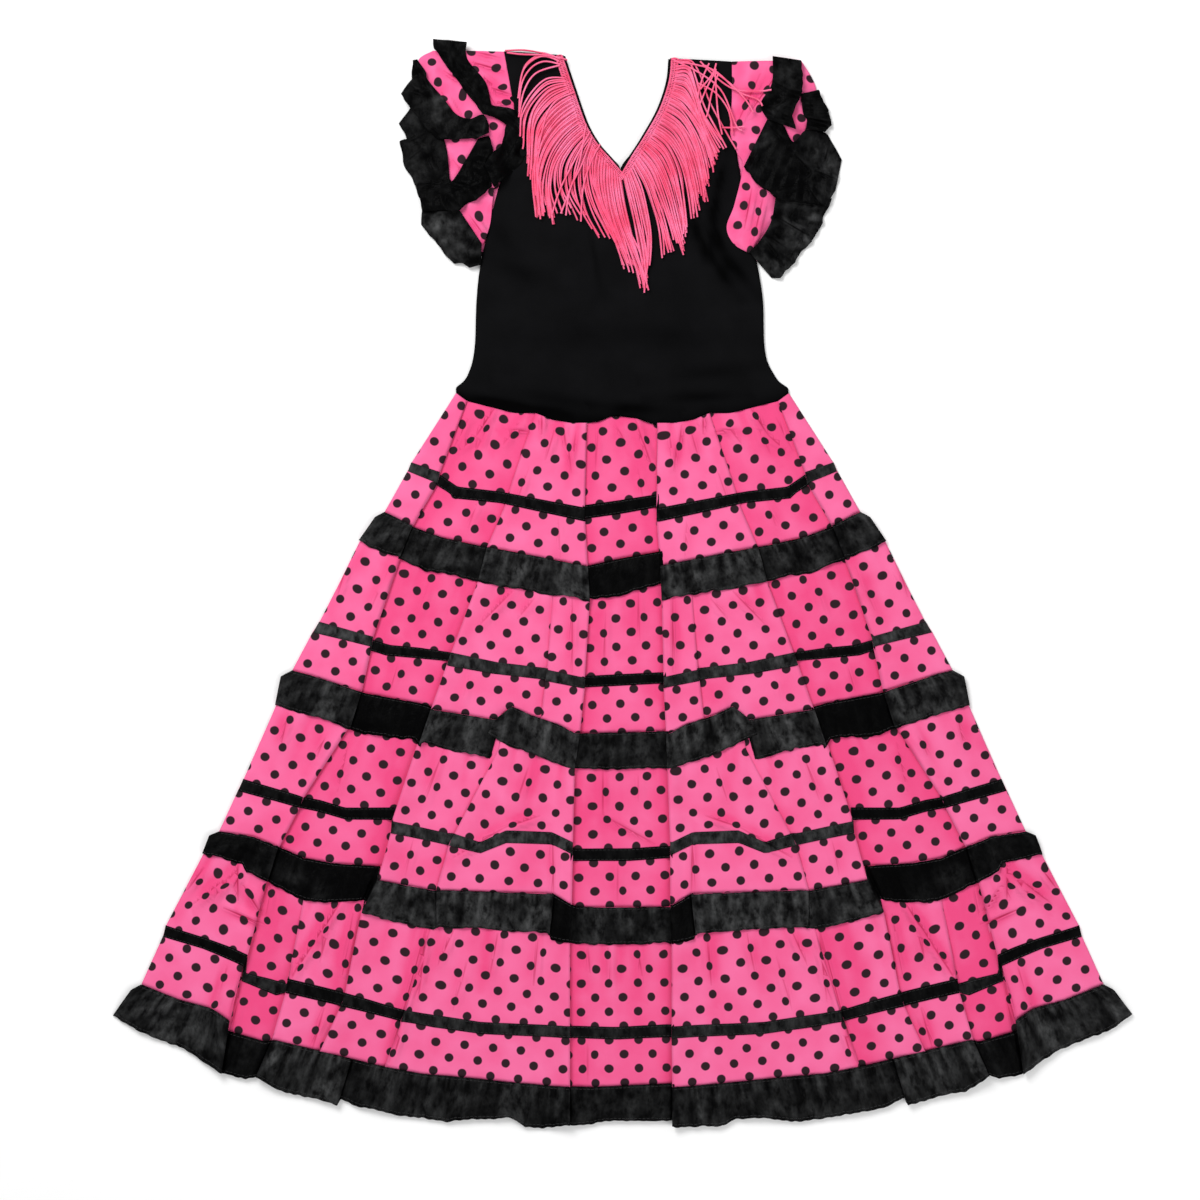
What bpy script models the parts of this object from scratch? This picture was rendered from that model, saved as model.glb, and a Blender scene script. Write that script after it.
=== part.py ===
"""Girl's flamenco dress laid flat on its back, neck towards +Y and its top side up."""
import math

import bmesh
import bpy
from mathutils import Vector
from mathutils.bvhtree import BVHTree

MM = 0.001
COLLECTION_NAME = "flamenco_dress"

# Cloth walls and the clearances between pieces, in metres
CLOTH = 1.2 * MM
SATIN = 1.0 * MM
SEAM_GAP = 0.6 * MM
LAY_GAP = 0.5 * MM
BACK_SKIRT_Z = SATIN + 0.3 * MM
FRONT_SKIRT_Z = BACK_SKIRT_Z + CLOTH + 0.4 * MM
FRONT_BODICE_Z = CLOTH + 0.4 * MM

# Lines round the skirt, in mm: half the laid width, then y at the side edge and at the middle
LEVELS = {
    "waist": (150.0, 170.6, 145.4),
    "ribbon_1_top": (189.9, 107.4, 67.1),
    "ribbon_1_low": (193.5, 100.4, 57.2),
    "seam_1": (215.1, 63.7, 15.8),
    "ruffle_1_low": (238.3, 36.4, -14.0),
    "ribbon_2_top": (273.3, -36.5, -85.1),
    "ribbon_2_low": (278.8, -44.1, -93.6),
    "seam_2": (297.4, -79.0, -135.5),
    "ruffle_2_low": (312.7, -110.2, -168.3),
    "ribbon_3_top": (341.5, -176.9, -239.9),
    "ribbon_3_low": (346.1, -186.8, -248.9),
    "seam_3": (363.3, -224.0, -292.1),
    "ruffle_3_low": (378.3, -246.3, -325.4),
    "ribbon_4_top": (411.5, -309.0, -401.0),
    "ribbon_4_low": (413.8, -318.2, -410.0),
    "seam_4": (433.4, -361.8, -454.1),
    "ruffle_4_low": (455.0, -389.3, -484.0),
}
SAG_POWER = 2.1
HEM_SAG_POWER = 2.8

# Each tier's lines from top to bottom
TIERS = (
    ("waist", "ribbon_1_top", "ribbon_1_low", "seam_1"),
    ("seam_1", "ruffle_1_low", "ribbon_2_top", "ribbon_2_low", "seam_2"),
    ("seam_2", "ruffle_2_low", "ribbon_3_top", "ribbon_3_low", "seam_3"),
    ("seam_3", "ruffle_3_low", "ribbon_4_top", "ribbon_4_low", "seam_4"),
)

# Folds of the skirt's top layer: place across half the width at waist and hem, then rise in mm
FOLD_COLUMNS = (
    ("middle", 0.0, 0.0, 0.6),
    ("middle swell", 0.09, 0.045, 1.2),
    ("centre fold inner foot", 0.18, 0.085, 0.7),
    ("centre fold crest", 0.225, 0.12, 6.0),
    ("centre fold outer foot", 0.26, 0.155, 0.5),
    ("first swell", 0.33, 0.26, 2.4),
    ("first hollow", 0.40, 0.38, 0.3),
    ("second swell", 0.44, 0.48, 2.2),
    ("mid fold inner foot", 0.49, 0.575, 0.5),
    ("mid fold crest", 0.53, 0.62, 6.2),
    ("mid fold outer foot", 0.575, 0.655, 0.4),
    ("third swell", 0.66, 0.69, 2.4),
    ("third hollow", 0.76, 0.735, 0.4),
    ("side fold inner foot", 0.87, 0.785, 0.6),
    ("side fold crest", 0.915, 0.82, 5.0),
    ("side fold outer foot", 0.95, 0.86, 0.4),
    ("side swell", 0.975, 0.93, 1.0),
    ("side edge", 1.0, 1.0, 0.0),
)
RISE_AT_WAIST = 0.35
WAIST_GATHER = 1.2 * MM
BACK_COLUMNS = 12

# Skirt ruffles: overhang past the side at mid height and at the free edge, puff and wave rise, in mm
RUFFLES = (
    ("ruffle", 1, 7.0, 1.5, 1.8, 3.2),
    ("ruffle", 2, 6.0, 4.0, 1.8, 3.4),
    ("ruffle", 3, 5.0, 2.0, 2.0, 3.6),
    ("hem_ruffle", 4, 4.5, 4.0, 1.6, 3.8),
)
RUFFLE_MID_WAVE = 0.5
HEM_SCALLOP = 3.2 * MM
HEM_SCALLOP_COUNT = 14

# Bodice lines from waist to shoulder, in mm: left side, left and right edge of the neck, right side
BODICE_ROWS = (
    ("waist", (-149.6, 171.4), (0.0, 146.2), (0.0, 146.2), (149.6, 171.4)),
    ("flare", (-139.5, 192.0), (0.0, 172.0), (0.0, 172.0), (136.5, 192.0)),
    ("narrow", (-133.3, 211.0), (0.0, 200.0), (0.0, 200.0), (128.3, 209.3)),
    ("ribs", (-131.5, 254.0), (-1.0, 250.0), (-1.0, 250.0), (126.5, 254.0)),
    ("underarm", (-127.4, 294.0), (-1.5, 297.0), (-1.5, 297.0), (121.0, 288.5)),
    ("chest", (-114.8, 344.0), (-2.0, 340.0), (-2.0, 340.0), (110.3, 344.0)),
    ("neck point", (-103.0, 386.0), (-2.0, 371.3), (-2.0, 371.3), (103.1, 386.0)),
    ("neck low", (-103.5, 408.0), (-21.4, 394.7), (18.6, 401.6), (101.0, 406.0)),
    ("neck mid", (-104.0, 431.0), (-32.2, 413.3), (32.4, 426.3), (99.5, 428.0)),
    ("neck high", (-105.2, 455.0), (-43.1, 444.2), (40.7, 451.2), (99.0, 450.0)),
    ("shoulder", (-106.7, 478.4), (-53.2, 474.5), (42.9, 471.8), (98.6, 469.1)),
)
BODICE_HALF_COLUMNS = 7
BODICE_PUFF = 2.6 * MM
BACK_NECK_INSET = 1.8 * MM

# Sleeves, in mm: the line next to the armhole and the outer line of each layer, from shoulder to underarm
SLEEVE_UNDER = {
    "left": (
        ((-107.5, 478.0), (-105.2, 434.0), (-104.6, 389.0), (-116.4, 344.0), (-128.6, 294.0)),
        ((-166.0, 482.0), (-193.0, 440.0), (-196.0, 405.0), (-188.0, 362.0), (-176.0, 322.0), (-150.0, 292.0)),
    ),
    "right": (
        ((99.6, 468.0), (100.6, 425.0), (104.2, 387.0), (111.6, 344.0), (122.0, 290.0)),
        ((158.0, 467.0), (181.0, 428.0), (191.0, 382.0), (184.0, 345.0), (168.0, 309.0), (142.0, 281.0)),
    ),
}
SLEEVE_TOP = {
    "left": (
        ((-106.7, 478.0), (-100.4, 443.0), (-97.7, 425.0), (-104.0, 411.0), (-108.0, 388.0),
         (-115.7, 353.0), (-119.3, 322.0), (-125.5, 304.7)),
        ((-170.5, 479.0), (-184.0, 470.0), (-177.0, 452.0), (-176.0, 420.0), (-172.0, 386.0),
         (-164.0, 354.0), (-155.0, 331.0), (-137.0, 308.0)),
    ),
    "right": (
        ((98.5, 469.1), (98.5, 436.5), (97.0, 405.5), (103.0, 387.0), (108.5, 375.0),
         (100.8, 340.6), (93.8, 320.0), (100.0, 304.8), (114.0, 296.3)),
        ((161.2, 469.8), (174.4, 444.2), (167.0, 416.0), (160.0, 389.0), (155.0, 362.0),
         (141.8, 344.0), (137.3, 330.0), (128.0, 312.8), (117.0, 299.0)),
    ),
}
SLEEVE_RUFFLES = {
    "left": (
        ("cuff_ruffle",
         ((-178.0, 448.0), (-166.0, 416.0), (-158.0, 389.0), (-155.0, 360.0), (-151.0, 342.0),
          (-144.0, 331.0), (-126.5, 304.7)),
         ((-200.0, 439.7), (-201.0, 413.5), (-201.0, 398.5), (-196.5, 374.5), (-186.5, 357.5),
          (-183.0, 322.5), (-167.0, 306.5), (-151.6, 286.2), (-127.5, 286.2))),
        ("ruffle_3",
         ((-130.0, 399.0), (-141.0, 380.0), (-154.5, 360.0), (-170.0, 358.0), (-185.0, 358.0)),
         ((-120.0, 402.0), (-115.6, 385.5), (-117.4, 356.0), (-132.7, 343.0), (-147.0, 334.5), (-179.5, 333.5))),
        ("ruffle_2",
         ((-185.0, 471.0), (-177.0, 459.5), (-175.0, 452.0), (-160.6, 435.0), (-150.0, 421.6),
          (-137.7, 417.0), (-125.5, 420.7), (-120.0, 411.7)),
         ((-190.0, 470.5), (-189.5, 453.5), (-200.0, 439.6), (-191.0, 428.0), (-181.0, 413.5),
          (-167.0, 397.8), (-130.0, 399.0), (-120.0, 403.6))),
        ("ruffle_1",
         ((-140.0, 486.0), (-139.5, 470.6), (-123.0, 449.6), (-115.6, 426.0), (-97.6, 425.3),
          (-82.4, 405.5), (-89.5, 380.0), (-115.6, 355.0)),
         ((-170.5, 489.5), (-169.6, 480.0), (-150.0, 453.0), (-125.5, 420.7), (-114.7, 418.0),
          (-104.0, 411.7), (-110.0, 392.8), (-124.6, 375.8))),
    ),
    "right": (
        ("cuff_ruffle",
         ((138.0, 343.0), (134.0, 326.0), (124.6, 309.0), (114.0, 297.0)),
         ((187.0, 339.7), (180.5, 323.5), (169.6, 306.5), (155.0, 288.5), (141.8, 274.1), (134.5, 274.1))),
        ("ruffle_3",
         ((130.0, 416.3), (143.6, 412.7), (153.5, 396.5), (167.0, 407.0), (186.7, 398.0), (197.6, 382.0)),
         ((108.5, 373.0), (121.0, 358.6), (139.0, 344.0), (159.7, 341.5), (182.0, 338.0), (192.0, 353.0))),
        ("ruffle_2",
         ((160.5, 439.7), (162.5, 422.5), (166.0, 416.0), (165.0, 408.6)),
         ((176.7, 443.5), (183.7, 428.9), (189.5, 411.7), (182.2, 405.5))),
        ("ruffle_1",
         ((135.0, 473.4), (134.1, 448.7), (124.0, 430.2), (130.0, 416.3)),
         ((161.2, 469.8), (162.5, 455.0), (160.5, 437.0), (152.6, 419.4), (155.8, 407.3))),
    ),
}
SLEEVE_PUFF = 4.0 * MM
SLEEVE_WAVE = 2.6 * MM
SLEEVE_COLUMNS = 12
SLEEVE_RUFFLE_COLUMNS = 16
SLEEVE_REACH = 3.0 * MM
CURVE_STEPS = 12
RAY_START = 1.0

# Fringe, in metres: a braid along the neck edge and the strands that hang from it
BRAID_WIDTH = 7.0 * MM
BRAID_THICKNESS = 1.2 * MM
STRAND_WIDTH = 1.4 * MM
STRAND_SPACE = 1.2 * MM
STRAND_LENGTH = 100.0 * MM
STRAND_SEGMENTS = 3
STRAND_LAYER_STEP = 1.8 * MM
FRINGE_SAMPLES = 400
FRINGE_POINT_SHIFT = (2.0, 1.0)
BRAID_REACH = 6.0 * MM
STRAND_REACH = 5.0 * MM
STRAND_ROOT = 1.0 * MM

# Strand directions in degrees below level: at the V point, less this much at the shoulder
STRAND_START = (84.0, 68.0)
STRAND_START_POWER = 0.6
STRAND_END = (90.0, 14.0)
PROBES_BEFORE = (0.35, 0.7)
PROBES_AFTER = (0.0, 0.3, 0.65)

# Colour, roughness and sheen of each cloth
CLOTHS = {
    "jersey": ((0.010, 0.010, 0.011), 0.85, 0.2),
    "dotted_cotton": ((0.95, 0.12, 0.36), 0.75, 0.1),
    "satin": ((0.012, 0.012, 0.013), 0.38, 0.0),
    "fringe": ((0.95, 0.13, 0.30), 0.60, 0.1),
}


def clear_scene():
    """Remove whatever the file opened with."""
    for obj in list(bpy.data.objects):
        bpy.data.objects.remove(obj)


def cloth_material(cloth):
    """Return the material of one cloth, made on first use."""
    material = bpy.data.materials.get(cloth)
    if material is None:
        color, roughness, sheen = CLOTHS[cloth]
        material = bpy.data.materials.new(cloth)
        material.use_nodes = True
        shader = material.node_tree.nodes["Principled BSDF"]
        shader.inputs["Base Color"].default_value = (*color, 1.0)
        shader.inputs["Roughness"].default_value = roughness
        shader.inputs["Metallic"].default_value = 0.0
        shader.inputs["Sheen Weight"].default_value = sheen
    return material


def add_object(name, mesh, cloth):
    """Link a mesh as one named piece of the dress."""
    obj = bpy.data.objects.new(name, mesh)
    bpy.data.collections[COLLECTION_NAME].objects.link(obj)
    mesh.materials.append(cloth_material(cloth))
    mesh.shade_smooth()
    mesh.set_sharp_from_angle(angle=math.radians(50))
    return obj


def add_cloth(name, grids, thickness, cloth):
    """Make a cloth wall that grows upwards from one or more grids of points joined where they meet."""
    form = bmesh.new()
    for rows in grids:
        verts = [[form.verts.new(point) for point in row] for row in rows]
        first_side = rows[0][1] - rows[0][0]
        second_side = rows[1][0] - rows[0][0]
        faces_up = first_side.cross(second_side).z > 0
        for upper, lower in zip(verts, verts[1:]):
            for column in range(len(upper) - 1):
                corners = [upper[column], upper[column + 1], lower[column + 1], lower[column]]
                form.faces.new(corners if faces_up else corners[::-1])
    bmesh.ops.remove_doubles(form, verts=form.verts, dist=0.00001)
    mesh = bpy.data.meshes.new(name)
    form.to_mesh(mesh)
    form.free()
    obj = add_object(name, mesh, cloth)
    wall = obj.modifiers.new("wall", "SOLIDIFY")
    wall.thickness = thickness
    wall.offset = 1.0
    return obj


def level_point(level, across):
    """Return the plan position, in metres, on one line of the skirt; across runs from -1 to 1."""
    half_width, side_y, centre_y = LEVELS[level]
    power = HEM_SAG_POWER if level == "ruffle_4_low" else SAG_POWER
    y = centre_y + (side_y - centre_y) * abs(across) ** power
    return Vector((half_width * across * MM, y * MM, 0.0))


def depth_of(level):
    """Return how far down the skirt a line lies, 0 at the waist and 1 at the last seam."""
    waist_y = LEVELS["waist"][2]
    return (waist_y - LEVELS[level][2]) / (waist_y - LEVELS["seam_4"][2])


def fold_columns():
    """Return the fold columns of the whole width as (waist place, hem place, rise), left to right."""
    right = [(waist, hem, rise * MM) for _, waist, hem, rise in FOLD_COLUMNS]
    left = [(-waist, -hem, rise) for waist, hem, rise in right[:0:-1]]
    return left + right


def front_row(level, shift=0.0):
    """Return the points of the skirt's top layer along one line, moved down the skirt by shift."""
    depth = min(depth_of(level), 1.0)
    row = []
    for index, (waist, hem, rise) in enumerate(fold_columns()):
        point = level_point(level, waist + (hem - waist) * depth)
        point.y -= shift
        point.z = FRONT_SKIRT_Z + rise * (RISE_AT_WAIST + (1.0 - RISE_AT_WAIST) * depth)
        if level == "waist":
            point.z += WAIST_GATHER * (index % 2)
        row.append(point)
    return row


def back_row(level, shift=0.0, height=BACK_SKIRT_Z, overhang=0.0):
    """Return the points of a flat back piece along one line."""
    row = []
    for index in range(BACK_COLUMNS + 1):
        across = 2.0 * index / BACK_COLUMNS - 1.0
        point = level_point(level, across)
        point.y -= shift
        point.z = height
        row.append(point)
    row[0].x -= overhang
    row[-1].x += overhang
    return row


def seam_shift(levels, level):
    """Return how far a tier's first and last line step back from its seam."""
    if level == levels[0]:
        return SEAM_GAP / 2
    if level == levels[-1]:
        return -SEAM_GAP / 2
    return 0.0


def add_tiers():
    """Make the front and back half of each gathered tier."""
    for number, levels in enumerate(TIERS, start=1):
        front = [front_row(level, seam_shift(levels, level)) for level in levels]
        back = [back_row(level, seam_shift(levels, level)) for level in levels]
        add_cloth(f"skirt_front_tier_{number}", [front], CLOTH, "dotted_cotton")
        add_cloth(f"skirt_back_tier_{number}", [back], CLOTH, "dotted_cotton")


def add_ribbons():
    """Lay a satin ribbon on each tier, made from the tier's own points moved out."""
    for number in range(1, len(TIERS) + 1):
        levels = (f"ribbon_{number}_top", f"ribbon_{number}_low")
        lift = Vector((0.0, 0.0, CLOTH + LAY_GAP))
        front = [[point + lift for point in front_row(level)] for level in levels]
        back = [back_row(level, height=0.0) for level in levels]
        add_cloth(f"ribbon_front_{number}", [front], SATIN, "satin")
        add_cloth(f"ribbon_back_{number}", [back], SATIN, "satin")


def doubled(row):
    """Return a row with a point added halfway between each two."""
    points = [row[0]]
    for left, right in zip(row, row[1:]):
        points.append((left + right) / 2)
        points.append(right.copy())
    return points


def add_ruffle(kind, number, mid_overhang, low_overhang, puff, wave):
    """Make the front and back stretch of one gathered ruffle, hanging from its tier seam."""
    top_level = f"seam_{number}"
    low_level = f"ruffle_{number}_low"
    top = doubled(front_row(top_level, SEAM_GAP))
    low = doubled(front_row(low_level))
    mid = [(upper + lower) / 2 for upper, lower in zip(top, low)]
    overhangs = (0.0, mid_overhang * MM, low_overhang * MM)
    for row, overhang in zip((top, mid, low), overhangs):
        row[0].x -= overhang
        row[-1].x += overhang
    for index in range(len(top)):
        crest = index % 2
        top[index].z += CLOTH + LAY_GAP
        mid[index].z += CLOTH + LAY_GAP + (puff + RUFFLE_MID_WAVE * wave * crest) * MM
        low[index].z += CLOTH + LAY_GAP + wave * crest * MM
        if number == len(RUFFLES):
            place = index / (len(top) - 1)
            low[index].y += HEM_SCALLOP * math.sin(2 * math.pi * HEM_SCALLOP_COUNT * place)
            low[index].z -= CLOTH  # nothing lies under the hem's lower edge
    back_top = back_row(top_level, SEAM_GAP, 0.0)
    back_low = back_row(low_level, 0.0, 0.0, low_overhang * MM)
    back_mid = [(upper + lower) / 2 for upper, lower in zip(back_top, back_low)]
    back_mid[0].x -= (mid_overhang - low_overhang / 2) * MM
    back_mid[-1].x += (mid_overhang - low_overhang / 2) * MM
    add_cloth(f"{kind}_front_{number}", [[top, mid, low]], SATIN, "satin")
    add_cloth(f"{kind}_back_{number}", [[back_top, back_mid, back_low]], SATIN, "satin")


def bodice_half(side, height, puff, inset):
    """Return the point rows of half the bodice, from the neck or middle out to the side."""
    rows = []
    for name, left_side, left_neck, right_neck, right_side in BODICE_ROWS:
        if side == "left":
            inner, outer = Vector(left_neck), Vector(left_side)
        else:
            inner, outer = Vector(right_neck), Vector(right_side)
        if left_neck != right_neck:
            inner.x += inset / MM if side == "left" else -inset / MM
        row = []
        for index in range(BODICE_HALF_COLUMNS + 1):
            place = index / BODICE_HALF_COLUMNS
            flat = inner.lerp(outer, place) * MM
            if name == "waist":
                across = flat.x / (LEVELS["waist"][0] * MM)
                flat.y = level_point("waist", across).y + SEAM_GAP
            row.append(Vector((flat.x, flat.y, height + puff * math.cos(place * math.pi / 2))))
        rows.append(row)
    return rows


def add_bodice():
    """Make the jersey front and back, open at the V neck."""
    front = [bodice_half(side, FRONT_BODICE_Z, BODICE_PUFF, 0.0) for side in ("left", "right")]
    back = [bodice_half(side, 0.0, 0.0, BACK_NECK_INSET) for side in ("left", "right")]
    add_cloth("bodice_front", front, CLOTH, "jersey")
    add_cloth("bodice_back", back, CLOTH, "jersey")


def curve_points(points, count):
    """Return count + 1 points evenly spread on a smooth curve through plan points given in mm."""
    flat = [Vector(point) * MM for point in points]
    ends = [2 * flat[0] - flat[1]] + flat + [2 * flat[-1] - flat[-2]]
    fine = []
    for before, start, end, after in zip(ends, ends[1:], ends[2:], ends[3:]):
        for step in range(CURVE_STEPS):
            t = step / CURVE_STEPS
            fine.append(0.5 * (2 * start + (end - before) * t
                               + (2 * before - 5 * start + 4 * end - after) * t ** 2
                               + (3 * start - before - 3 * end + after) * t ** 3))
    fine.append(flat[-1])
    lengths = [0.0]
    for start, end in zip(fine, fine[1:]):
        lengths.append(lengths[-1] + (end - start).length)
    spread = []
    segment = 0
    for index in range(count + 1):
        target = lengths[-1] * index / count
        while segment < len(fine) - 2 and lengths[segment + 1] < target:
            segment += 1
        share = (target - lengths[segment]) / (lengths[segment + 1] - lengths[segment])
        spread.append(fine[segment].lerp(fine[segment + 1], share))
    return spread


def surface_of(obj):
    """Return a search tree of a finished piece, for laying the next one on it."""
    return BVHTree.FromObject(obj, bpy.context.evaluated_depsgraph_get())


def resting_height(place, surfaces, reach):
    """Return the height of the highest piece under or close round a plan position."""
    down = Vector((0.0, 0.0, -1.0))
    top = 0.0
    for dx in (-reach, 0.0, reach):
        for dy in (-reach, 0.0, reach):
            for surface in surfaces:
                hit = surface.ray_cast(Vector((place.x + dx, place.y + dy, RAY_START)), down)[0]
                if hit is not None:
                    top = max(top, hit.z)
    return top


def strip_rows(inner, outer, columns, shares):
    """Return plan rows between an inner and an outer line, one row for each share of the way."""
    first = curve_points(inner, columns)
    last = curve_points(outer, columns)
    return [[start.lerp(end, share) for start, end in zip(first, last)] for share in shares]


def rested_heights(rows, surfaces, reach):
    """Return the height under each plan point, also of what lies half way to its neighbours."""
    heights = []
    for number, row in enumerate(rows):
        line = []
        for index, place in enumerate(row):
            top = 0.0
            for other in rows[max(number - 1, 0):number + 2]:
                for neighbour in other[max(index - 1, 0):index + 2]:
                    probe = place.lerp(neighbour, 0.5)
                    top = max(top, resting_height(probe, surfaces, reach))
            line.append(top)
        heights.append(line)
    return heights


def add_sleeve(side, surfaces):
    """Make one sleeve: its under layer, its puffed top layer and the ruffles lying on that."""
    under_rows = strip_rows(*SLEEVE_UNDER[side], SLEEVE_COLUMNS, (0.0, 0.5, 1.0))
    under = [[Vector((place.x, place.y, 0.0)) for place in row] for row in under_rows]
    made = [add_cloth(f"sleeve_{side}_under", [under], CLOTH, "dotted_cotton")]
    shares = (0.0, 0.25, 0.5, 0.75, 1.0)
    top_rows = strip_rows(*SLEEVE_TOP[side], SLEEVE_COLUMNS, shares)
    below = surfaces + [surface_of(made[0])]
    heights = rested_heights(top_rows, below, SLEEVE_REACH)
    top = []
    for share, row, line in zip(shares, top_rows, heights):
        rise = LAY_GAP + SLEEVE_PUFF * math.sin(math.pi * share)
        top.append([Vector((place.x, place.y, height + rise)) for place, height in zip(row, line)])
    made.append(add_cloth(f"sleeve_{side}_top", [top], CLOTH, "dotted_cotton"))
    for name, inner, outer in SLEEVE_RUFFLES[side]:
        below = surfaces + [surface_of(obj) for obj in made]
        shares = (0.0, 0.5, 1.0)
        plan_rows = strip_rows(inner, outer, SLEEVE_RUFFLE_COLUMNS, shares)
        rows = []
        for share, row, line in zip(shares, plan_rows, rested_heights(plan_rows, below, SLEEVE_REACH)):
            points = []
            for index, (place, height) in enumerate(zip(row, line)):
                rise = LAY_GAP + SLEEVE_WAVE * share * (index % 2)
                points.append(Vector((place.x, place.y, height + rise)))
            rows.append(points)
        made.append(add_cloth(f"sleeve_{side}_{name}", [rows], SATIN, "satin"))
    return [surface_of(obj) for obj in made]


def strand_path(root, outward, share, turn):
    """Return plan points of one strand; share runs from the V point to the shoulder, turn is its side."""
    start_angle = math.radians(STRAND_START[0] - STRAND_START[1] * share ** STRAND_START_POWER)
    end_angle = math.radians(STRAND_END[0] - STRAND_END[1] * share)
    points = [root + outward * STRAND_ROOT]
    step = STRAND_LENGTH / STRAND_SEGMENTS
    for index in range(STRAND_SEGMENTS):
        blend = (index + 0.5) / STRAND_SEGMENTS
        angle = start_angle + (end_angle - start_angle) * blend
        heading = Vector((turn * math.cos(angle), -math.sin(angle)))
        points.append(points[-1] + heading * step)
    return points


def add_fringe(side, surfaces):
    """Make one side of the neck fringe: a braid along the neck edge with strands grown out of it."""
    turn = -1.0 if side == "left" else 1.0
    column = 2 if side == "left" else 3
    neck = [row[column] for row in BODICE_ROWS[6:]]
    neck[0] = (neck[0][0] + turn * FRINGE_POINT_SHIFT[0], neck[0][1] + FRINGE_POINT_SHIFT[1])
    fine = curve_points(neck, FRINGE_SAMPLES)
    length = sum((end - start).length for start, end in zip(fine, fine[1:]))
    pitch = STRAND_WIDTH + STRAND_SPACE
    count = int(length / pitch)
    stations = []
    for index in range(count):
        stations.append(index * pitch)
        stations.append(index * pitch + STRAND_SPACE)
    stations.append(count * pitch)
    form = bmesh.new()
    sections = []
    for distance in stations:
        place = distance / length * (len(fine) - 1)
        before = min(int(place), len(fine) - 2)
        root = fine[before].lerp(fine[before + 1], place - before)
        along = (fine[before + 1] - fine[before]).normalized()
        outward = Vector((along.y, -along.x)) * turn
        outer = root + outward * BRAID_WIDTH
        base = resting_height(root.lerp(outer, 0.5), surfaces, BRAID_REACH) + LAY_GAP
        low_inner = form.verts.new((root.x, root.y, base))
        low_outer = form.verts.new((outer.x, outer.y, base))
        top_outer = form.verts.new((outer.x, outer.y, base + BRAID_THICKNESS))
        top_inner = form.verts.new((root.x, root.y, base + BRAID_THICKNESS))
        sections.append(((low_inner, low_outer, top_outer, top_inner), outer, outward))
    strand_faces = []
    for index, (start, end) in enumerate(zip(sections, sections[1:])):
        for edge in range(4):
            after = (edge + 1) % 4
            face = form.faces.new((start[0][edge], start[0][after], end[0][after], end[0][edge]))
            if edge == 1 and index % 2 == 1:
                strand_faces.append((face, index // 2, (start[1] + end[1]) / 2, start[2]))
    form.faces.new(sections[0][0][::-1])
    form.faces.new(sections[-1][0])
    for face, number, root, outward in strand_faces:
        grow_strand(form, face, strand_path(root, outward, number / count, turn), number % 2, surfaces)
    bmesh.ops.recalc_face_normals(form, faces=form.faces)
    mesh = bpy.data.meshes.new(f"neck_fringe_{side}")
    form.to_mesh(mesh)
    form.free()
    add_object(f"neck_fringe_{side}", mesh, "fringe")


def grow_strand(form, face, path, layer, surfaces):
    """Extrude one strand from a side face of the braid along a plan path, resting on what lies below."""
    low = min(vert.co.z for vert in face.verts)
    lowers = [vert.co.z < low + 0.5 * BRAID_THICKNESS for vert in face.verts]
    root = face.calc_center_median().xy
    outward = (path[0] - root).normalized()
    sideways = Vector((-outward.y, outward.x))
    firsts = [(vert.co.xy - root).dot(sideways) > 0 for vert in face.verts]
    for index, place in enumerate(path):
        before = path[max(index - 1, 0)]
        after = path[min(index + 1, len(path) - 1)]
        heading = (after - before).normalized()
        across = Vector((-heading.y, heading.x))
        probes = [before.lerp(place, share) for share in PROBES_BEFORE]
        probes += [place.lerp(after, share) for share in PROBES_AFTER]
        base = max(resting_height(probe, surfaces, STRAND_REACH) for probe in probes)
        base += LAY_GAP + STRAND_LAYER_STEP * layer
        grown = bmesh.ops.extrude_discrete_faces(form, faces=[face])
        face = grown["faces"][0]
        for vert, lower, first in zip(face.verts, lowers, firsts):
            vert.co.xy = place + across * (STRAND_WIDTH / 2 if first else -STRAND_WIDTH / 2)
            vert.co.z = base if lower else base + BRAID_THICKNESS


def main():
    """Build the dress from the floor up."""
    clear_scene()
    collection = bpy.data.collections.new(COLLECTION_NAME)
    bpy.context.scene.collection.children.link(collection)
    add_tiers()
    add_ribbons()
    for ruffle in RUFFLES:
        add_ruffle(*ruffle)
    add_bodice()
    bpy.context.view_layer.update()
    surfaces = [surface_of(bpy.data.objects["bodice_front"])]
    surfaces += add_sleeve("left", surfaces[:1])
    surfaces += add_sleeve("right", surfaces[:1])
    for side in ("left", "right"):
        add_fringe(side, surfaces)


main()
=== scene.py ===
"""Looks of a girl's flamenco dress laid flat: dotted cotton, black jersey, satin ruffles and fringe."""

import math
import random

import bpy
import numpy as np
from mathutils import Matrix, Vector
from mathutils.bvhtree import BVHTree


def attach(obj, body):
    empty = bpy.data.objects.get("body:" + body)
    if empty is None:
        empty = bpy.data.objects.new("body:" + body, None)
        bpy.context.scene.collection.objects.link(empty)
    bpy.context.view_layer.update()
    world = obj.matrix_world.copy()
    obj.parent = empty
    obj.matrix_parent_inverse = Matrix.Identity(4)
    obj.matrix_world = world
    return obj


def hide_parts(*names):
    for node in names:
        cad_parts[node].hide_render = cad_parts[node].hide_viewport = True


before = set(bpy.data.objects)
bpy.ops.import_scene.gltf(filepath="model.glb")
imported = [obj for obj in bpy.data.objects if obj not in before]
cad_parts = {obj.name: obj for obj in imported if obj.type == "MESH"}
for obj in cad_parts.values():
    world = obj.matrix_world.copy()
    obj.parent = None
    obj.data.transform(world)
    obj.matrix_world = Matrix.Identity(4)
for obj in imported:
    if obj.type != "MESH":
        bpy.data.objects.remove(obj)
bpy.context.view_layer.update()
MM = 0.001

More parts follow.
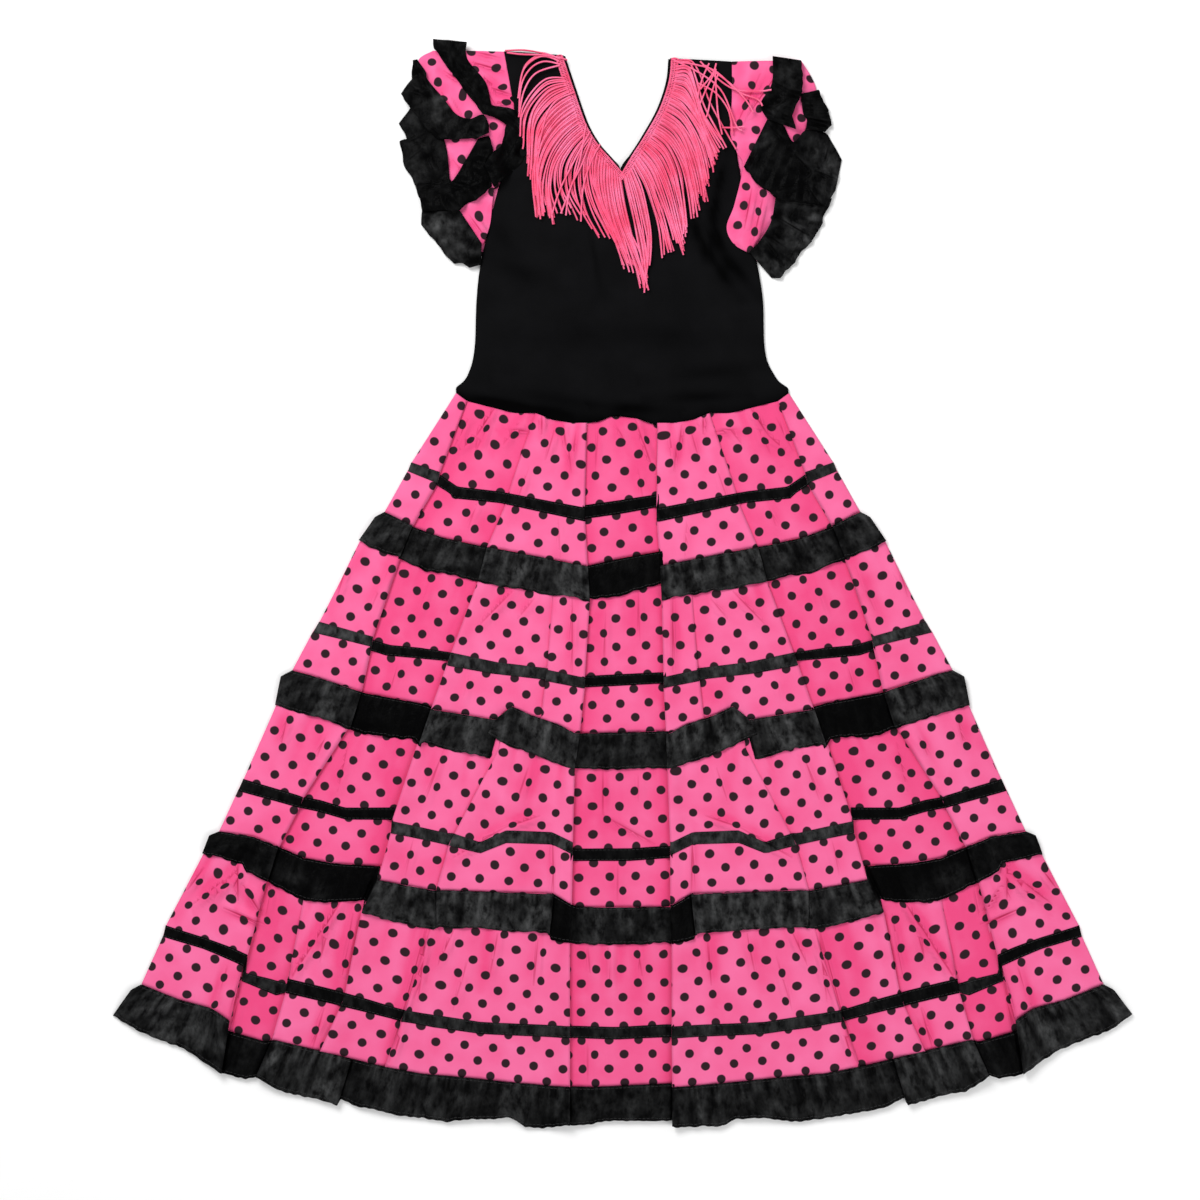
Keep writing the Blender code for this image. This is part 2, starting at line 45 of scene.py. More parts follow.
# Skirt, upper layer: four gathered tiers of pink dotted cotton, laid in knife pleats.
# The lines across it are the seams, ribbon edges and ruffle edges of the left half and the middle
# panel, in mm; the right half mirrors them. A pleat is named for its upper side: left or right.
LINES = {
    "waist": ((-150, 170.6), (-140, 163.1), (-96.8, 152.3), (-78.5, 152.6), (-63.5, 146.4),
        (-46.9, 143.6), (-31.9, 143.6), (-21.9, 144.8), (-9.5, 149.6), (-2.2, 149.8), (13.8, 147.3),
        (31.3, 141.1)),
    "ribbon_1_top": ((-190.3, 107.5), (-164.2, 98.5), (-164.2, 96.3), (-148.4, 85.5), (-113.4, 81.5),
        (-103, 79.7), (-69.8, 73.4), (-33.8, 66.6), (-33.8, 68.9), (-2.2, 73.4), (30.6, 78.5)),
    "ribbon_1_low": ((-193.3, 101), (-170, 91.5), (-166.1, 89.5), (-166.1, 87.8), (-155.1, 80.7),
        (-151.7, 76.6), (-110.2, 72.4), (-69.8, 63.5), (-33.6, 55.7), (-33.6, 58.1), (-2.2, 62.6),
        (30.6, 68.4)),
    "seam_1": ((-214.2, 63.7), (-188.4, 50.8), (-188.4, 50), (-163.3, 40.8), (-130.1, 33.3),
        (-96.8, 27.4), (-63.5, 20.8), (-31.1, 14.5), (-31.1, 14.9), (-2.2, 21.6), (33.8, 28)),
    "ruffle_1_low": ((-237.4, 37.4), (-228.3, 31.6), (-200, 22.5), (-200, 20.2), (-176.7, 10.8),
        (-155.1, 6.7), (-130.1, 0.8), (-96.8, -5.9), (-46.9, -13.3), (-29.2, -17.6), (-29.2, -14.4),
        (-2.2, -12.5), (35.1, -0.5)),
    "ribbon_2_top": ((-273.2, -36), (-224.3, -49.6), (-224.3, -52.6), (-209, -57.1), (-182.8, -59.4),
        (-154.4, -63.7), (-113, -72.5), (-68, -77.9), (-68, -79.2), (-38.9, -85.5), (-33.8, -86),
        (-33.8, -85), (-2.2, -83.3), (36.9, -81.5)),
    "ribbon_2_low": ((-278.8, -44.1), (-225.4, -57.1), (-225.4, -60.8), (-213.4, -64.8), (-158, -69.8),
        (-158, -73.4), (-154.4, -74.6), (-117.4, -81.2), (-69.4, -86.7), (-69.4, -87.8), (-36.7, -94.2),
        (-33.8, -94.5), (-33.8, -93.6), (-2.2, -92.1), (36.9, -90)),
    "seam_2": ((-297.4, -79), (-281, -83.3), (-230.8, -99.7), (-182.8, -108.5), (-172.3, -111.6),
        (-172.3, -113.9), (-158.8, -116.1), (-122, -122.3), (-112, -123.8), (-112, -121),
        (-99.5, -111.2), (-82.5, -119.3), (-58.1, -127.5), (-42.8, -135.5), (-38.2, -135.6),
        (-2.2, -135.1), (39.1, -133.7)),
    "ruffle_2_low": ((-312.7, -110.2), (-283.1, -119.3), (-261.4, -125.9), (-230.8, -137.2),
        (-187.2, -141.2), (-183.6, -147.2), (-178.5, -144.5), (-148, -152.1), (-121, -158.4),
        (-121, -135.7), (-103, -146.2), (-71.9, -158.5), (-44.4, -167.1), (-25.7, -168.5),
        (-2.2, -167.8), (40.1, -167)),
    "ribbon_3_top": ((-341.5, -177.6), (-288.7, -193.1), (-287.1, -194), (-272.6, -196.5),
        (-249.7, -203.4), (-207.6, -203.3), (-207.6, -215.3), (-157.9, -226.3), (-152.6, -226.3),
        (-128.2, -234.5), (-104.6, -223.9), (-63.3, -225.5), (-44.6, -234.3), (-44.6, -240.3),
        (6.4, -240.1), (42.8, -237.7)),
    "ribbon_3_low": ((-346.1, -186.8), (-290.2, -202.1), (-272.6, -205.7), (-249.7, -212.4),
        (-208.3, -212.8), (-208.3, -224.6), (-157.9, -235.3), (-128.2, -243), (-104.6, -233.6),
        (-63.3, -234.9), (-44.6, -243.9), (-44.6, -249.8), (6.4, -249.8), (42.8, -247.1)),
    "seam_3": ((-363.3, -224), (-332.3, -228.6), (-309.3, -237.8), (-286.4, -248.1), (-258.8, -252.7),
        (-220.1, -255.2), (-220.1, -267.3), (-196.8, -272.2), (-167.4, -277.3), (-162.5, -276.8),
        (-61.6, -280.4), (-45.5, -289.8), (-39.5, -291.8), (-16.7, -292.4), (42.8, -291.8)),
    "ruffle_3_low": ((-378.3, -244.3), (-341.5, -252.7), (-339.2, -259.7), (-318.5, -270.5),
        (-286.4, -286), (-272.6, -288.4), (-234.5, -286), (-234.5, -297), (-203.8, -305.6),
        (-170.4, -312.4), (-163.2, -310.1), (-131.4, -311.3), (-66.2, -315.9), (-64.4, -321.6),
        (-28.1, -326.2), (44.1, -324.6)),
    "ribbon_4_top": ((-411.5, -309.5), (-375.9, -320.5), (-350.6, -329.7), (-337.1, -335.6),
        (-337.1, -352.9), (-318.5, -357.2), (-301.1, -362.1), (-301.1, -356.7), (-249.7, -369.8),
        (-203.8, -383.6), (-180.8, -388.2), (-128.2, -396.3), (-51, -399.7), (-5.1, -400.9),
        (44.1, -398.2)),
    "ribbon_4_low": ((-413.8, -318.2), (-378.3, -328.5), (-341.1, -344.1), (-341.1, -358.8),
        (-311.7, -371), (-302.9, -368.1), (-249.7, -381.3), (-203.8, -392.8), (-169.3, -399.7),
        (-128.2, -405.4), (-51, -408.9), (-5.1, -410.5), (44.1, -408.2)),
    "seam_4": ((-433.4, -361.8), (-398.9, -375.6), (-369.1, -383.6), (-353.2, -393.9), (-353.2, -404.3),
        (-320.9, -413.5), (-313.9, -411.1), (-272.6, -421.5), (-226.7, -433), (-180.8, -442.2),
        (-128.2, -446.8), (-108.5, -449), (-62.6, -453.2), (-28.1, -454.3), (44.6, -450.9)),
    "ruffle_4_low": ((-459.1, -389.3), (-437.9, -403.1), (-394.3, -420.3), (-359.8, -442.2),
        (-339.2, -447.2), (-330, -444.4), (-309.3, -457.1), (-256.5, -470.2), (-253.8, -463.9),
        (-238.1, -472), (-203.8, -478.9), (-157.9, -485.7), (-128.2, -482.3), (-101.5, -482.3),
        (-87.8, -490.3), (-39.5, -489.2), (-16.7, -484.7), (44.6, -484.7)),
}
PLEATS = {
    "tier_1": (
        ("waist", "ribbon_1_top", "ribbon_1_low", "seam_1"),
        ("left", 4.6, (-140, -164.2, -166.1, -188.4)),
        ("right", (0.8, 3.0, 3.0, 3.0), (-78.5, -103, -104.9, -122)),
        ("left", 4.2, (-31.9, -33.8, -33.6, -31.1)),
        ("right", 4.2, (31.3, 30.6, 30.6, 33.8)),
    ),
    "tier_2": (
        ("seam_1", "ruffle_1_low", "ribbon_2_top", "ribbon_2_low", "seam_2"),
        ("left", 4.4, (-188.4, -200, -224.3, -225.4, -234.5)),
        ("right", 5.0, (-122, -130.1, -154.4, -158, -172.3)),
        ("right", (0.1, 0.4, 1.6, 1.6, 1.6), (-59.9, -62.6, -68, -69.4, -73.4)),
        ("left", 5.4, (-31.1, -29.2, -33.8, -33.8, -38.2)),
        ("right", 5.4, (33.8, 35.1, 36.9, 36.9, 39.1)),
    ),
    "tier_3": (
        ("seam_2", "ruffle_2_low", "ribbon_3_top", "ribbon_3_low", "seam_3"),
        ("left", 4.2, (-234.5, -246.6, -287.1, -290.2, -308.7)),
        ("right", 6.0, (-172.3, -184.1, -207.6, -208.3, -220.1)),
        ("right", (0.4, 1.0, 2.2, 2.2, 2.2), (-104.9, -111.2, -151.7, -156.2, -167.8)),
        ("left", 5.6, (-38.2, -42.8, -44.6, -44.6, -45.5)),
        ("right", 5.6, (39.1, 40.1, 42.8, 42.8, 42.8)),
    ),
    "tier_4": (
        ("seam_3", "ruffle_3_low", "ribbon_4_top", "ribbon_4_low", "seam_4"),
        ("left", 5.0, (-311.9, -319.9, -337.1, -341.1, -353.2)),
        ("right", (0.1, 0.3, 3.6, 4.0, 4.0), (-281.2, -286.7, -301.1, -302.9, -315.4)),
        ("right", 3.4, (-220.1, -234.5, -249.8, -253.3, -272.2)),
        ("right", (0.3, 0.8, 2.2, 2.2, 2.2), (-167.8, -172.3, -195.8, -199.3, -213.8)),
        ("left", 4.6, (-45.5, -47.2, -47.2, -47.2, -47.2)),
        ("right", 4.6, (42.8, 44.1, 44.1, 44.1, 44.6)),
    ),
    "ruffle_1": (
        ("seam_1", "ruffle_1_low"),
        ("left", 4.4, (-188.4, -200)),
        ("right", 5.0, (-122, -130.1)),
        ("left", 5.4, (-31.1, -29.2)),
        ("right", 5.4, (33.8, 35.1)),
    ),
    "ruffle_2": (
        ("seam_2", "ruffle_2_low"),
        ("left", 4.4, (-234.5, -245.2)),
        ("right", 6.0, (-172.3, -183.6)),
        ("right", 3.4, (-112, -121)),
        ("left", 5.4, (-38.2, -42.8)),
        ("right", 5.4, (39.1, 40.1)),
    ),
    "ruffle_3": (
        ("seam_3", "ruffle_3_low"),
        ("left", 4.4, (-309.2, -319.1)),
        ("right", 5.6, (-220.1, -234.5)),
        ("right", 2.4, (-167.4, -167)),
        ("left", 2.8, (-61.6, -65.7)),
        ("left", 5.4, (-45.5, -47.2)),
        ("right", 5.4, (42.8, 44.1)),
    ),
    "ruffle_4": (
        ("seam_4", "ruffle_4_low"),
        ("left", 5.0, (-353.2, -360.4)),
        ("right", 3.8, (-315.4, -329.9)),
        ("left", 3.0, (-243.5, -255.6)),
        ("left", 4.0, (-47.2, -47.2)),
        ("right", 4.0, (44.6, 44.6)),
    ),
}
CREASES = {
    "tier_1": (
        (-48.1, 130.1, -44.6, 101.2, 5, 0.8),
        (-4, 140.8, 3.1, 128.2, 4, 0.7),
        (13.1, 147.2, 23.9, 114.8, 5, 0.9),
        (43.6, 133.7, 46.4, 113, 4, 0.7),
        (-119.2, 141.8, -130.1, 117.5, 6, 0.9),
        (-59.9, 135.5, -67, 112, 5, 0.8),
        (-92.2, 141.8, -105.8, 123.8, 5, 0.7),
        (-20.2, 137.2, -22.9, 101.2, 5, 0.6),
        (-137.2, 146.2, -150.8, 119.2, 6, 0.9),
        (-83.2, 101.2, -94, 69.8, 6, 0.7),
        (15.8, 101.2, 20.2, 74.2, 5, 0.6),
        (-128.2, 74.2, -137.2, 47.2, 6, 0.6),
        (-56.2, 56.2, -54.5, 23.9, 5, 0.5),
        (-114.8, 155.3, -130.1, 131.9, 4, 1.4),
        (-130.1, 131.9, -144.5, 119.3, 4, 1),
        (-71.6, 150.8, -71.6, 135.5, 3, 1),
        (15.8, 139.1, 29, 101.3, 4, 1),
        (-99.5, 139.1, -85, 137.3, 4, 1.2),
        (-52, 140, -50, 122, 3, 0.9),
    ),
    "tier_2": (
        (-43.6, -13.1, -43.6, -79.7, 5, 0.9),
        (-14, -15.8, -14, -78.8, 6, 0.7),
        (-98.5, -9.5, -126.5, -38.2, 5, 0.9),
        (-209.2, 11.2, -225.5, -26.6, 6, 0.8),
        (-173.2, -2.2, -184.1, -31.9, 6, 0.8),
        (-245.2, 20.2, -254.2, -11.2, 6, 0.9),
        (15.8, -6.8, 17.6, -51.8, 6, 0.7),
        (-78.8, -15.8, -92.2, -31.9, 4, 0.6),
        (-200.2, -69.8, -206.6, -96.8, 6, 0.7),
        (-137.2, -87.8, -144.5, -110.2, 6, 0.6),
    ),
    "tier_3": (
        (-75.3, -212, -104.9, -221.8, 5, 1),
        (-104.9, -221.8, -149.8, -248, 5, 1),
        (-15.8, -170.6, -15.8, -208.3, 5, 0.9),
        (-15.8, -208.3, 29.2, -233.6, 5, 0.9),
        (-61.6, -228.2, -60.8, -279.4, 4, 1),
        (-83.2, -168.8, -92.2, -195.8, 6, 0.8),
        (-160.7, -155.2, -175.1, -195.8, 6, 0.8),
        (-263.2, -132.8, -274.1, -159.8, 6, 0.9),
        (-299.2, -119.2, -306.4, -150.8, 6, 0.9),
        (-245.2, -146.2, -254.2, -186.8, 6, 0.8),
        (15.8, -173.2, 15.8, -195.8, 5, 0.6),
        (-186.8, -231.8, -193.1, -263.2, 6, 0.6),
        (-2.2, -254.2, -2.2, -285.8, 6, 0.5),
    ),
    "tier_4": (
        (-254.2, -290.2, -282.2, -334.4, 6, 1.2),
        (-176, -315.4, -208.3, -432.4, 6, 1.2),
        (-346.1, -260.6, -366.8, -285.8, 7, 1.5),
        (-355.1, -267.8, -383.9, -290.2, 7, 1.4),
        (-338.9, -272.2, -324.4, -294.8, 6, 1.3),
        (-375.8, -258.8, -389.2, -276.8, 6, 1.2),
        (-149.8, -312.8, -164.2, -344.2, 6, 1),
        (-110.2, -317.2, -117.5, -353.2, 6, 1),
        (-74.2, -321.8, -77.9, -362.2, 6, 1),
        (-11.2, -328.9, -9.5, -362.2, 6, 1),
        (15.8, -328.9, 20.2, -357.8, 6, 0.9),
        (-263.2, -312.8, -270.4, -339.8, 5, 0.9),
        (-137.2, -339.8, -150.8, -384.8, 6, 0.7),
        (-29.2, -330.8, -27.4, -353.2, 5, 0.8),
        (-357.8, -362.2, -366.8, -384.8, 7, 0.8),
        (-29.2, -416.2, -29.2, -447.8, 6, 0.5),
        (-252.4, -287.5, -274, -321.7, 4, 1.7),
        (-274, -321.7, -297.4, -357, 5, 1.2),
        (-241, -300, -250, -352, 6, 1.3),
        (-345.2, -251.5, -345.2, -284.8, 3, 1.4),
        (-357.7, -292, -324.4, -305.5, 4, 1.3),
        (-315.4, -272.2, -319, -298, 5, 1),
        (-175, -312, -182.3, -374.4, 4, 1),
        (-267.7, -384.8, -277.6, -419.5, 4, 1),
        (-195.8, -398.3, -204.8, -428, 4, 1),
        (-355, -349, -368, -384, 4, 1.1),
        (-343, -361, -350, -402, 4, 1),
        (-290, -340, -296, -360, 5, 0.8),
    ),
}
LAP = 8.0
LAP_HEIGHT = 1.45
LAP_STEPS = (0.1, 0.25, 0.45, 0.65, 0.85)
RIDGE_WIDTH = 15.0
SIDE_ROLL = 5.0
CREASE_RISE = 1.9
CREASE_DRAW = 0.55
PANEL_HALF = 30.0
WAIST_Y = 145.4
SKIRT_FALL = 599.5
PRINT_STEP = 8.3
SWELLS = ((0.0, 0.0, 0.10, 1.0), (0.33, 0.26, 0.07, 1.9), (0.44, 0.48, 0.06, 1.7),
          (0.66, 0.69, 0.06, 1.9), (0.97, 0.93, 0.03, 0.8))


def line_height(name, x):
    """Return y on one line of the skirt; the table's left half is mirrored past the right pleat."""
    points = LINES[name]
    panel_left = next(xs[levels.index(name)] for levels, *pleats in PLEATS.values() if name in levels
                      for _, _, xs in pleats[-2:-1])
    place = np.where(x > points[-1][0], -np.maximum(x, 0.1 - panel_left), x)
    xs = np.array([p[0] for p in points]) + np.arange(len(points)) * 1e-4
    return np.interp(place, xs, [p[1] for p in points])


def line_pleats(group, level):
    """Return the pleats of one line from left to right as (place, upper side, rise)."""
    levels, *pleats = PLEATS[group]
    index = levels.index(level)
    found = [(xs[index], side, rise[index] if isinstance(rise, tuple) else rise)
             for side, rise, xs in pleats]
    other = {"left": "right", "right": "left"}
    middle = found[-2:]
    left = found[:-2]
    mirrored = [(-x, other[side], rise) for x, side, rise in left[::-1]]
    return left + middle + mirrored


def fall(y):
    """Return how far down the skirt a place is, 0 at the waist and 1 at the last seam."""
    return np.clip((WAIST_Y - y) / SKIRT_FALL, 0.0, 1.0)


def swell(x, y, half_width):
    """Return the low rolling height of the laid cloth between its pleats."""
    depth = fall(y)
    across = np.abs(x) / half_width
    total = np.zeros_like(x)
    for waist, hem, width, rise in SWELLS:
        centre = waist + (hem - waist) * depth
        total += rise * np.exp(-((across - centre) / width) ** 2)
    return total * (0.35 + 0.65 * depth)


def pleat_lap(rise, lap):
    """Return how far a pleat laps over its neighbour, and how high its upper side must lie for that."""
    return lap * min(1.0, rise / 4.0), LAP_HEIGHT * min(1.0, rise / 1.6)


def pleated_line(group, level, spacing, sink, mean_widths, lap):
    """Return arrays x, y, z, flap, shade and hidden for every column of one line of a pleated piece."""
    pleats = line_pleats(group, level)
    side = LINES[level][0][0]
    edges = [side] + [p[0] for p in pleats] + [-side]
    sides = ["edge"] + [p[1] for p in pleats] + ["edge"]
    rises = [0.0] + [p[2] for p in pleats] + [0.0]
    half_width = abs(side)
    middle = next(k for k in range(len(edges) - 1) if edges[k] < 0 < edges[k + 1])
    reaches = np.linspace(-26, 26, 14) if group.startswith("tier") and level.startswith("ruffle") else (0.0,)
    columns = []

    def height(x):
        return np.mean([line_height(level, x + reach) for reach in reaches], axis=0)

    for index in range(len(edges) - 1):
        left, right = edges[index], edges[index + 1]
        left_low = sides[index] == "left"
        right_low = sides[index + 1] == "right"
        left_lap, left_height = pleat_lap(rises[index], lap)
        right_lap, right_height = pleat_lap(rises[index + 1], lap)
        start = left - (left_lap if left_low else 0.0)
        end = right + (right_lap if right_low else 0.0)
        count = max(int(mean_widths[index] / spacing), 4)
        place = np.linspace(0.0, 1.0, count + 1)
        if index == 0:
            place = place ** 1.5
        if index == len(edges) - 2:
            place = 1 - (1 - place) ** 1.5
        x = start + (end - start) * place
        seen = np.clip(x, left + 0.02, right - 0.02)
        y = height(seen)
        slope = (height(np.array([right - 0.5])) - height(np.array([right - 9.0])))[0] / 8.5
        first = (height(np.array([left + 9.0])) - height(np.array([left + 0.5])))[0] / 8.5
        y = y + np.where(x > right, slope, first) * (x - seen)
        depth = fall(y)
        z = swell(x, y, half_width)
        shade = np.zeros_like(x)
        scale = 0.35 + 0.65 * depth
        if sides[index] == "right":
            off = np.maximum(x - left, 0)
            ridge = rises[index] * scale * np.exp(-(off / RIDGE_WIDTH) ** 1.6)
            z += np.maximum(ridge, left_height * np.clip((LAP + 9.0 - off) / 8.0, 0, 1))
        if sides[index + 1] == "left":
            off = np.maximum(right - x, 0)
            ridge = rises[index + 1] * scale * np.exp(-(off / RIDGE_WIDTH) ** 1.6)
            z += np.maximum(ridge, right_height * np.clip((LAP + 9.0 - off) / 8.0, 0, 1))
        # Painted shade: darker on a flap's end that lies under a neighbour's lap, and over a whole flap that
        # lies low between two pleats.
        if left_low:
            shade += 0.8 * np.exp(-np.maximum(x - left, 0) / 14.0) * min(1.0, rises[index] / 4)
        if right_low:
            shade += 0.8 * np.exp(-np.maximum(right - x, 0) / 14.0) * min(1.0, rises[index + 1] / 4)
        if left_low and right_low and index not in (0, len(edges) - 2):
            shade += 0.14 if index == middle else 0.24
        reach = np.minimum(np.abs(x - side), np.abs(x + side)) / SIDE_ROLL
        z = (z + 1.6) * np.sqrt(np.clip(reach, 0.0, 1.0)) ** 0.8 - 1.6
        covered = ((x < left) if left_low else False) | ((x > right) if right_low else False)
        hidden = np.where(covered, 1.0, np.zeros_like(x))
        columns.append((x, y, z - sink * hidden, np.full_like(x, index), shade, hidden))
    joined = []
    for index, piece in enumerate(columns):
        joined.append(piece)
        if index + 1 < len(columns):
            ahead = columns[index + 1]
            upper_left = sides[index + 1] == "left"
            steps = np.array(LAP_STEPS)
            x_start, x_end = piece[0][-1], ahead[0][0]
            x = x_start + (x_end - x_start) * steps
            y = piece[1][-1] + (ahead[1][0] - piece[1][-1]) * steps
            z_first = piece[2][-1] + (-0.5 if upper_left else 0.3)
            z_last = ahead[2][0] + (0.3 if upper_left else -0.5)
            ease = np.sqrt(steps) if upper_left else 1 - np.sqrt(1 - steps)
            z = z_first + (z_last - z_first) * ease
            # The turn of cloth under a pleat gets full painted shade.
            joined.append((x, y, z, index + steps, np.ones_like(x), np.ones_like(x)))
    return [np.concatenate([piece[k] for piece in joined]) for k in range(6)]


def pleated_grid(group, levels, spacing, row_gap, lap=LAP, sink=0.7):
    """Return a grid of places, its shade and the share of the way down, between lines of a piece."""
    widths = []
    for level in levels:
        side = LINES[level][0][0]
        xs = [side] + [p[0] for p in line_pleats(group, level)] + [-side]
        widths.append(np.diff(xs))
    mean_widths = np.abs(np.mean(widths, axis=0)) + LAP
    lines = [pleated_line(group, level, spacing, sink, mean_widths, lap) for level in levels]
    rows = []
    for upper, lower in zip(lines, lines[1:]):
        gap = np.mean(np.abs(upper[1] - lower[1]))
        count = max(int(round(gap / row_gap)), 1)
        for step in range(count):
            share = step / count
            rows.append([a + (b - a) * share for a, b in zip(upper, lower)])
    rows.append(lines[-1])
    x, y, z, flap, shade, hidden = (np.array([row[k] for row in rows]) for k in range(6))
    steps = np.hypot(np.diff(x, axis=0), np.diff(y, axis=0))
    drop = np.cumsum(np.vstack([np.zeros(x.shape[1]), steps]), axis=0)
    down = drop / drop[-1]
    return x, y, z, flap, shade, down, drop, hidden


def fan(x):
    """Return x scaled to the width of the top row, so that what it steers fans out down the piece."""
    return x / np.abs(x[:, :1]) * np.abs(x[0, 0])


def add_creases(grid, creases, mirrored=True, bare=1.0):
    """Press listed creases into a grid: a ridge, the hollow beside it and a print drawn together."""
    x, y, z, u, v, shade = grid
    near = np.full_like(x, 5.0)
    depth = np.zeros_like(x)
    for x1, y1, x2, y2, width, rise in creases:
        for turn in ((1, -1) if mirrored and max(abs(x1), abs(x2)) > PANEL_HALF else (1,)):
            a = np.array([x1 * turn, y1])
            along = np.array([x2 * turn, y2]) - a
            length = np.hypot(*along)
            across = np.array([along[1], -along[0]]) / length
            if across[0] < 0:
                across = -across
            share = ((x - a[0]) * along[0] + (y - a[1]) * along[1]) / length ** 2
            inside = np.clip(share, 0.0, 1.0)
            off = np.hypot(x - a[0] - inside * along[0], y - a[1] - inside * along[1])
            side = (x - a[0]) * across[0] + (y - a[1]) * across[1]
            taper = 0.3 + 0.7 * np.sin(np.pi * np.clip(inside, 0.02, 0.98))
            ridge = np.exp(-(off / width) ** 2)
            z = z + bare * CREASE_RISE * rise * taper * (ridge - 0.45 * np.exp(-(off / (2.2 * width)) ** 2))
            hollow = np.exp(-((side * turn + 0.9 * width) / (0.9 * width)) ** 2) * (off < 3.5 * width)
            # Painted shade in the hollow beside each crease.
            shade = shade + 0.6 * rise * taper * hollow
            draw = (CREASE_DRAW * rise * taper * width * np.tanh(side / width)
                    * np.exp(-(off / (4 * width)) ** 2))
            u = u + draw * across[0]
            v = v + draw * across[1]
            # Where each crease lies and how strongly it shows, for the painted shade line and the groove
            # drawn by the materials.
            strength = np.clip(rise, 0, 1.3) * taper * np.clip(2.5 - 0.6 * off, 0, 1)
            closer = strength > depth
            near = np.where(closer, side * turn + 0.35 * width, near)
            depth = np.where(closer, strength, depth)
    return x, y, z, u, v, shade, np.clip(near, -5, 5), depth


def uneven_wave(x, seed, lengths, count=9):
    """Return a wave of uneven folds across x, from -1 to 1, with folds between two lengths in mm."""
    rng = random.Random(seed)
    total = np.zeros_like(x)
    for _ in range(count):
        length = rng.uniform(*lengths)
        total += rng.uniform(0.4, 1.0) * np.sin(2 * np.pi * x / length + rng.uniform(0, 6.28))
    return total / (0.45 * count)


def gathers(u, down, seed, gap):
    """Return the height and the lit side of small folds that run down from a seam, unevenly spaced."""
    rng = random.Random(seed)
    height = np.zeros_like(u)
    lit = np.zeros_like(u)
    place = float(u.min())
    while place < u.max():
        place += rng.uniform(0.45, 1.6) * gap
        width = rng.uniform(0.16, 0.40) * gap
        reach = rng.uniform(0.25, 1.1)
        lean = rng.uniform(-0.5, 0.5) * gap
        strength = rng.uniform(0.4, 1.0)
        off = (u - place - lean * down) / (width * (1 + 1.1 * down))
        fold = strength * np.exp(-(down / reach) ** 2) * np.exp(-off ** 2)
        height += fold
        lit += 2.3 * fold * off
    return height, lit


def crumple(x, y, seed, lengths, count=8):
    """Return uneven folds that run across each other, from -1 to 1, with sharp crests."""
    rng = random.Random(seed)
    total = np.zeros_like(x)
    for _ in range(count):
        turn = rng.uniform(0, math.pi)
        length = rng.uniform(*lengths)
        along = x * math.sin(turn) - y * math.cos(turn)
        bend = rng.uniform(0.6, 1.5) * np.sin(2 * np.pi * along / (2.4 * length) + rng.uniform(0, 6.28))
        across = x * math.cos(turn) + y * math.sin(turn)
        wave = np.sin(np.pi * across / length + rng.uniform(0, 6.28) + bend)
        total += rng.uniform(0.5, 1.0) * (1 - 2.2 * np.abs(wave) ** 0.8)
    return total / (0.5 * count)


def cotton_uv(group, levels, x, y, flap):
    """Return the print's own coordinates in mm: each flap's grain follows its ribbon."""
    level = levels[-3] if len(levels) > 3 else levels[0]
    pleats = line_pleats(group, level)
    side = LINES[level][0][0]
    edges = [side] + [p[0] for p in pleats] + [-side]
    u = np.zeros_like(x)
    v = np.zeros_like(x)
    frames = []
    for index in range(len(edges) - 1):
        ends = np.array([edges[index] + 0.05, edges[index + 1] - 0.05])
        heights = line_height(level, ends)
        angle = math.atan2(heights[1] - heights[0], ends[1] - ends[0])
        frames.append((ends[0], heights[0], math.cos(angle), math.sin(angle), PRINT_STEP * index))
    low = np.clip(np.floor(flap).astype(int), 0, len(frames) - 1)
    high = np.clip(np.ceil(flap).astype(int), 0, len(frames) - 1)
    for chosen, weight in ((low, 1 - (flap - low)), (high, flap - low)):
        x0, y0, c, s, shift = (np.array([f[k] for f in frames])[chosen] for k in range(5))
        u += weight * ((x - x0) * c + (y - y0) * s + shift)
        v += weight * (-(x - x0) * s + (y - y0) * c)
    return u, v


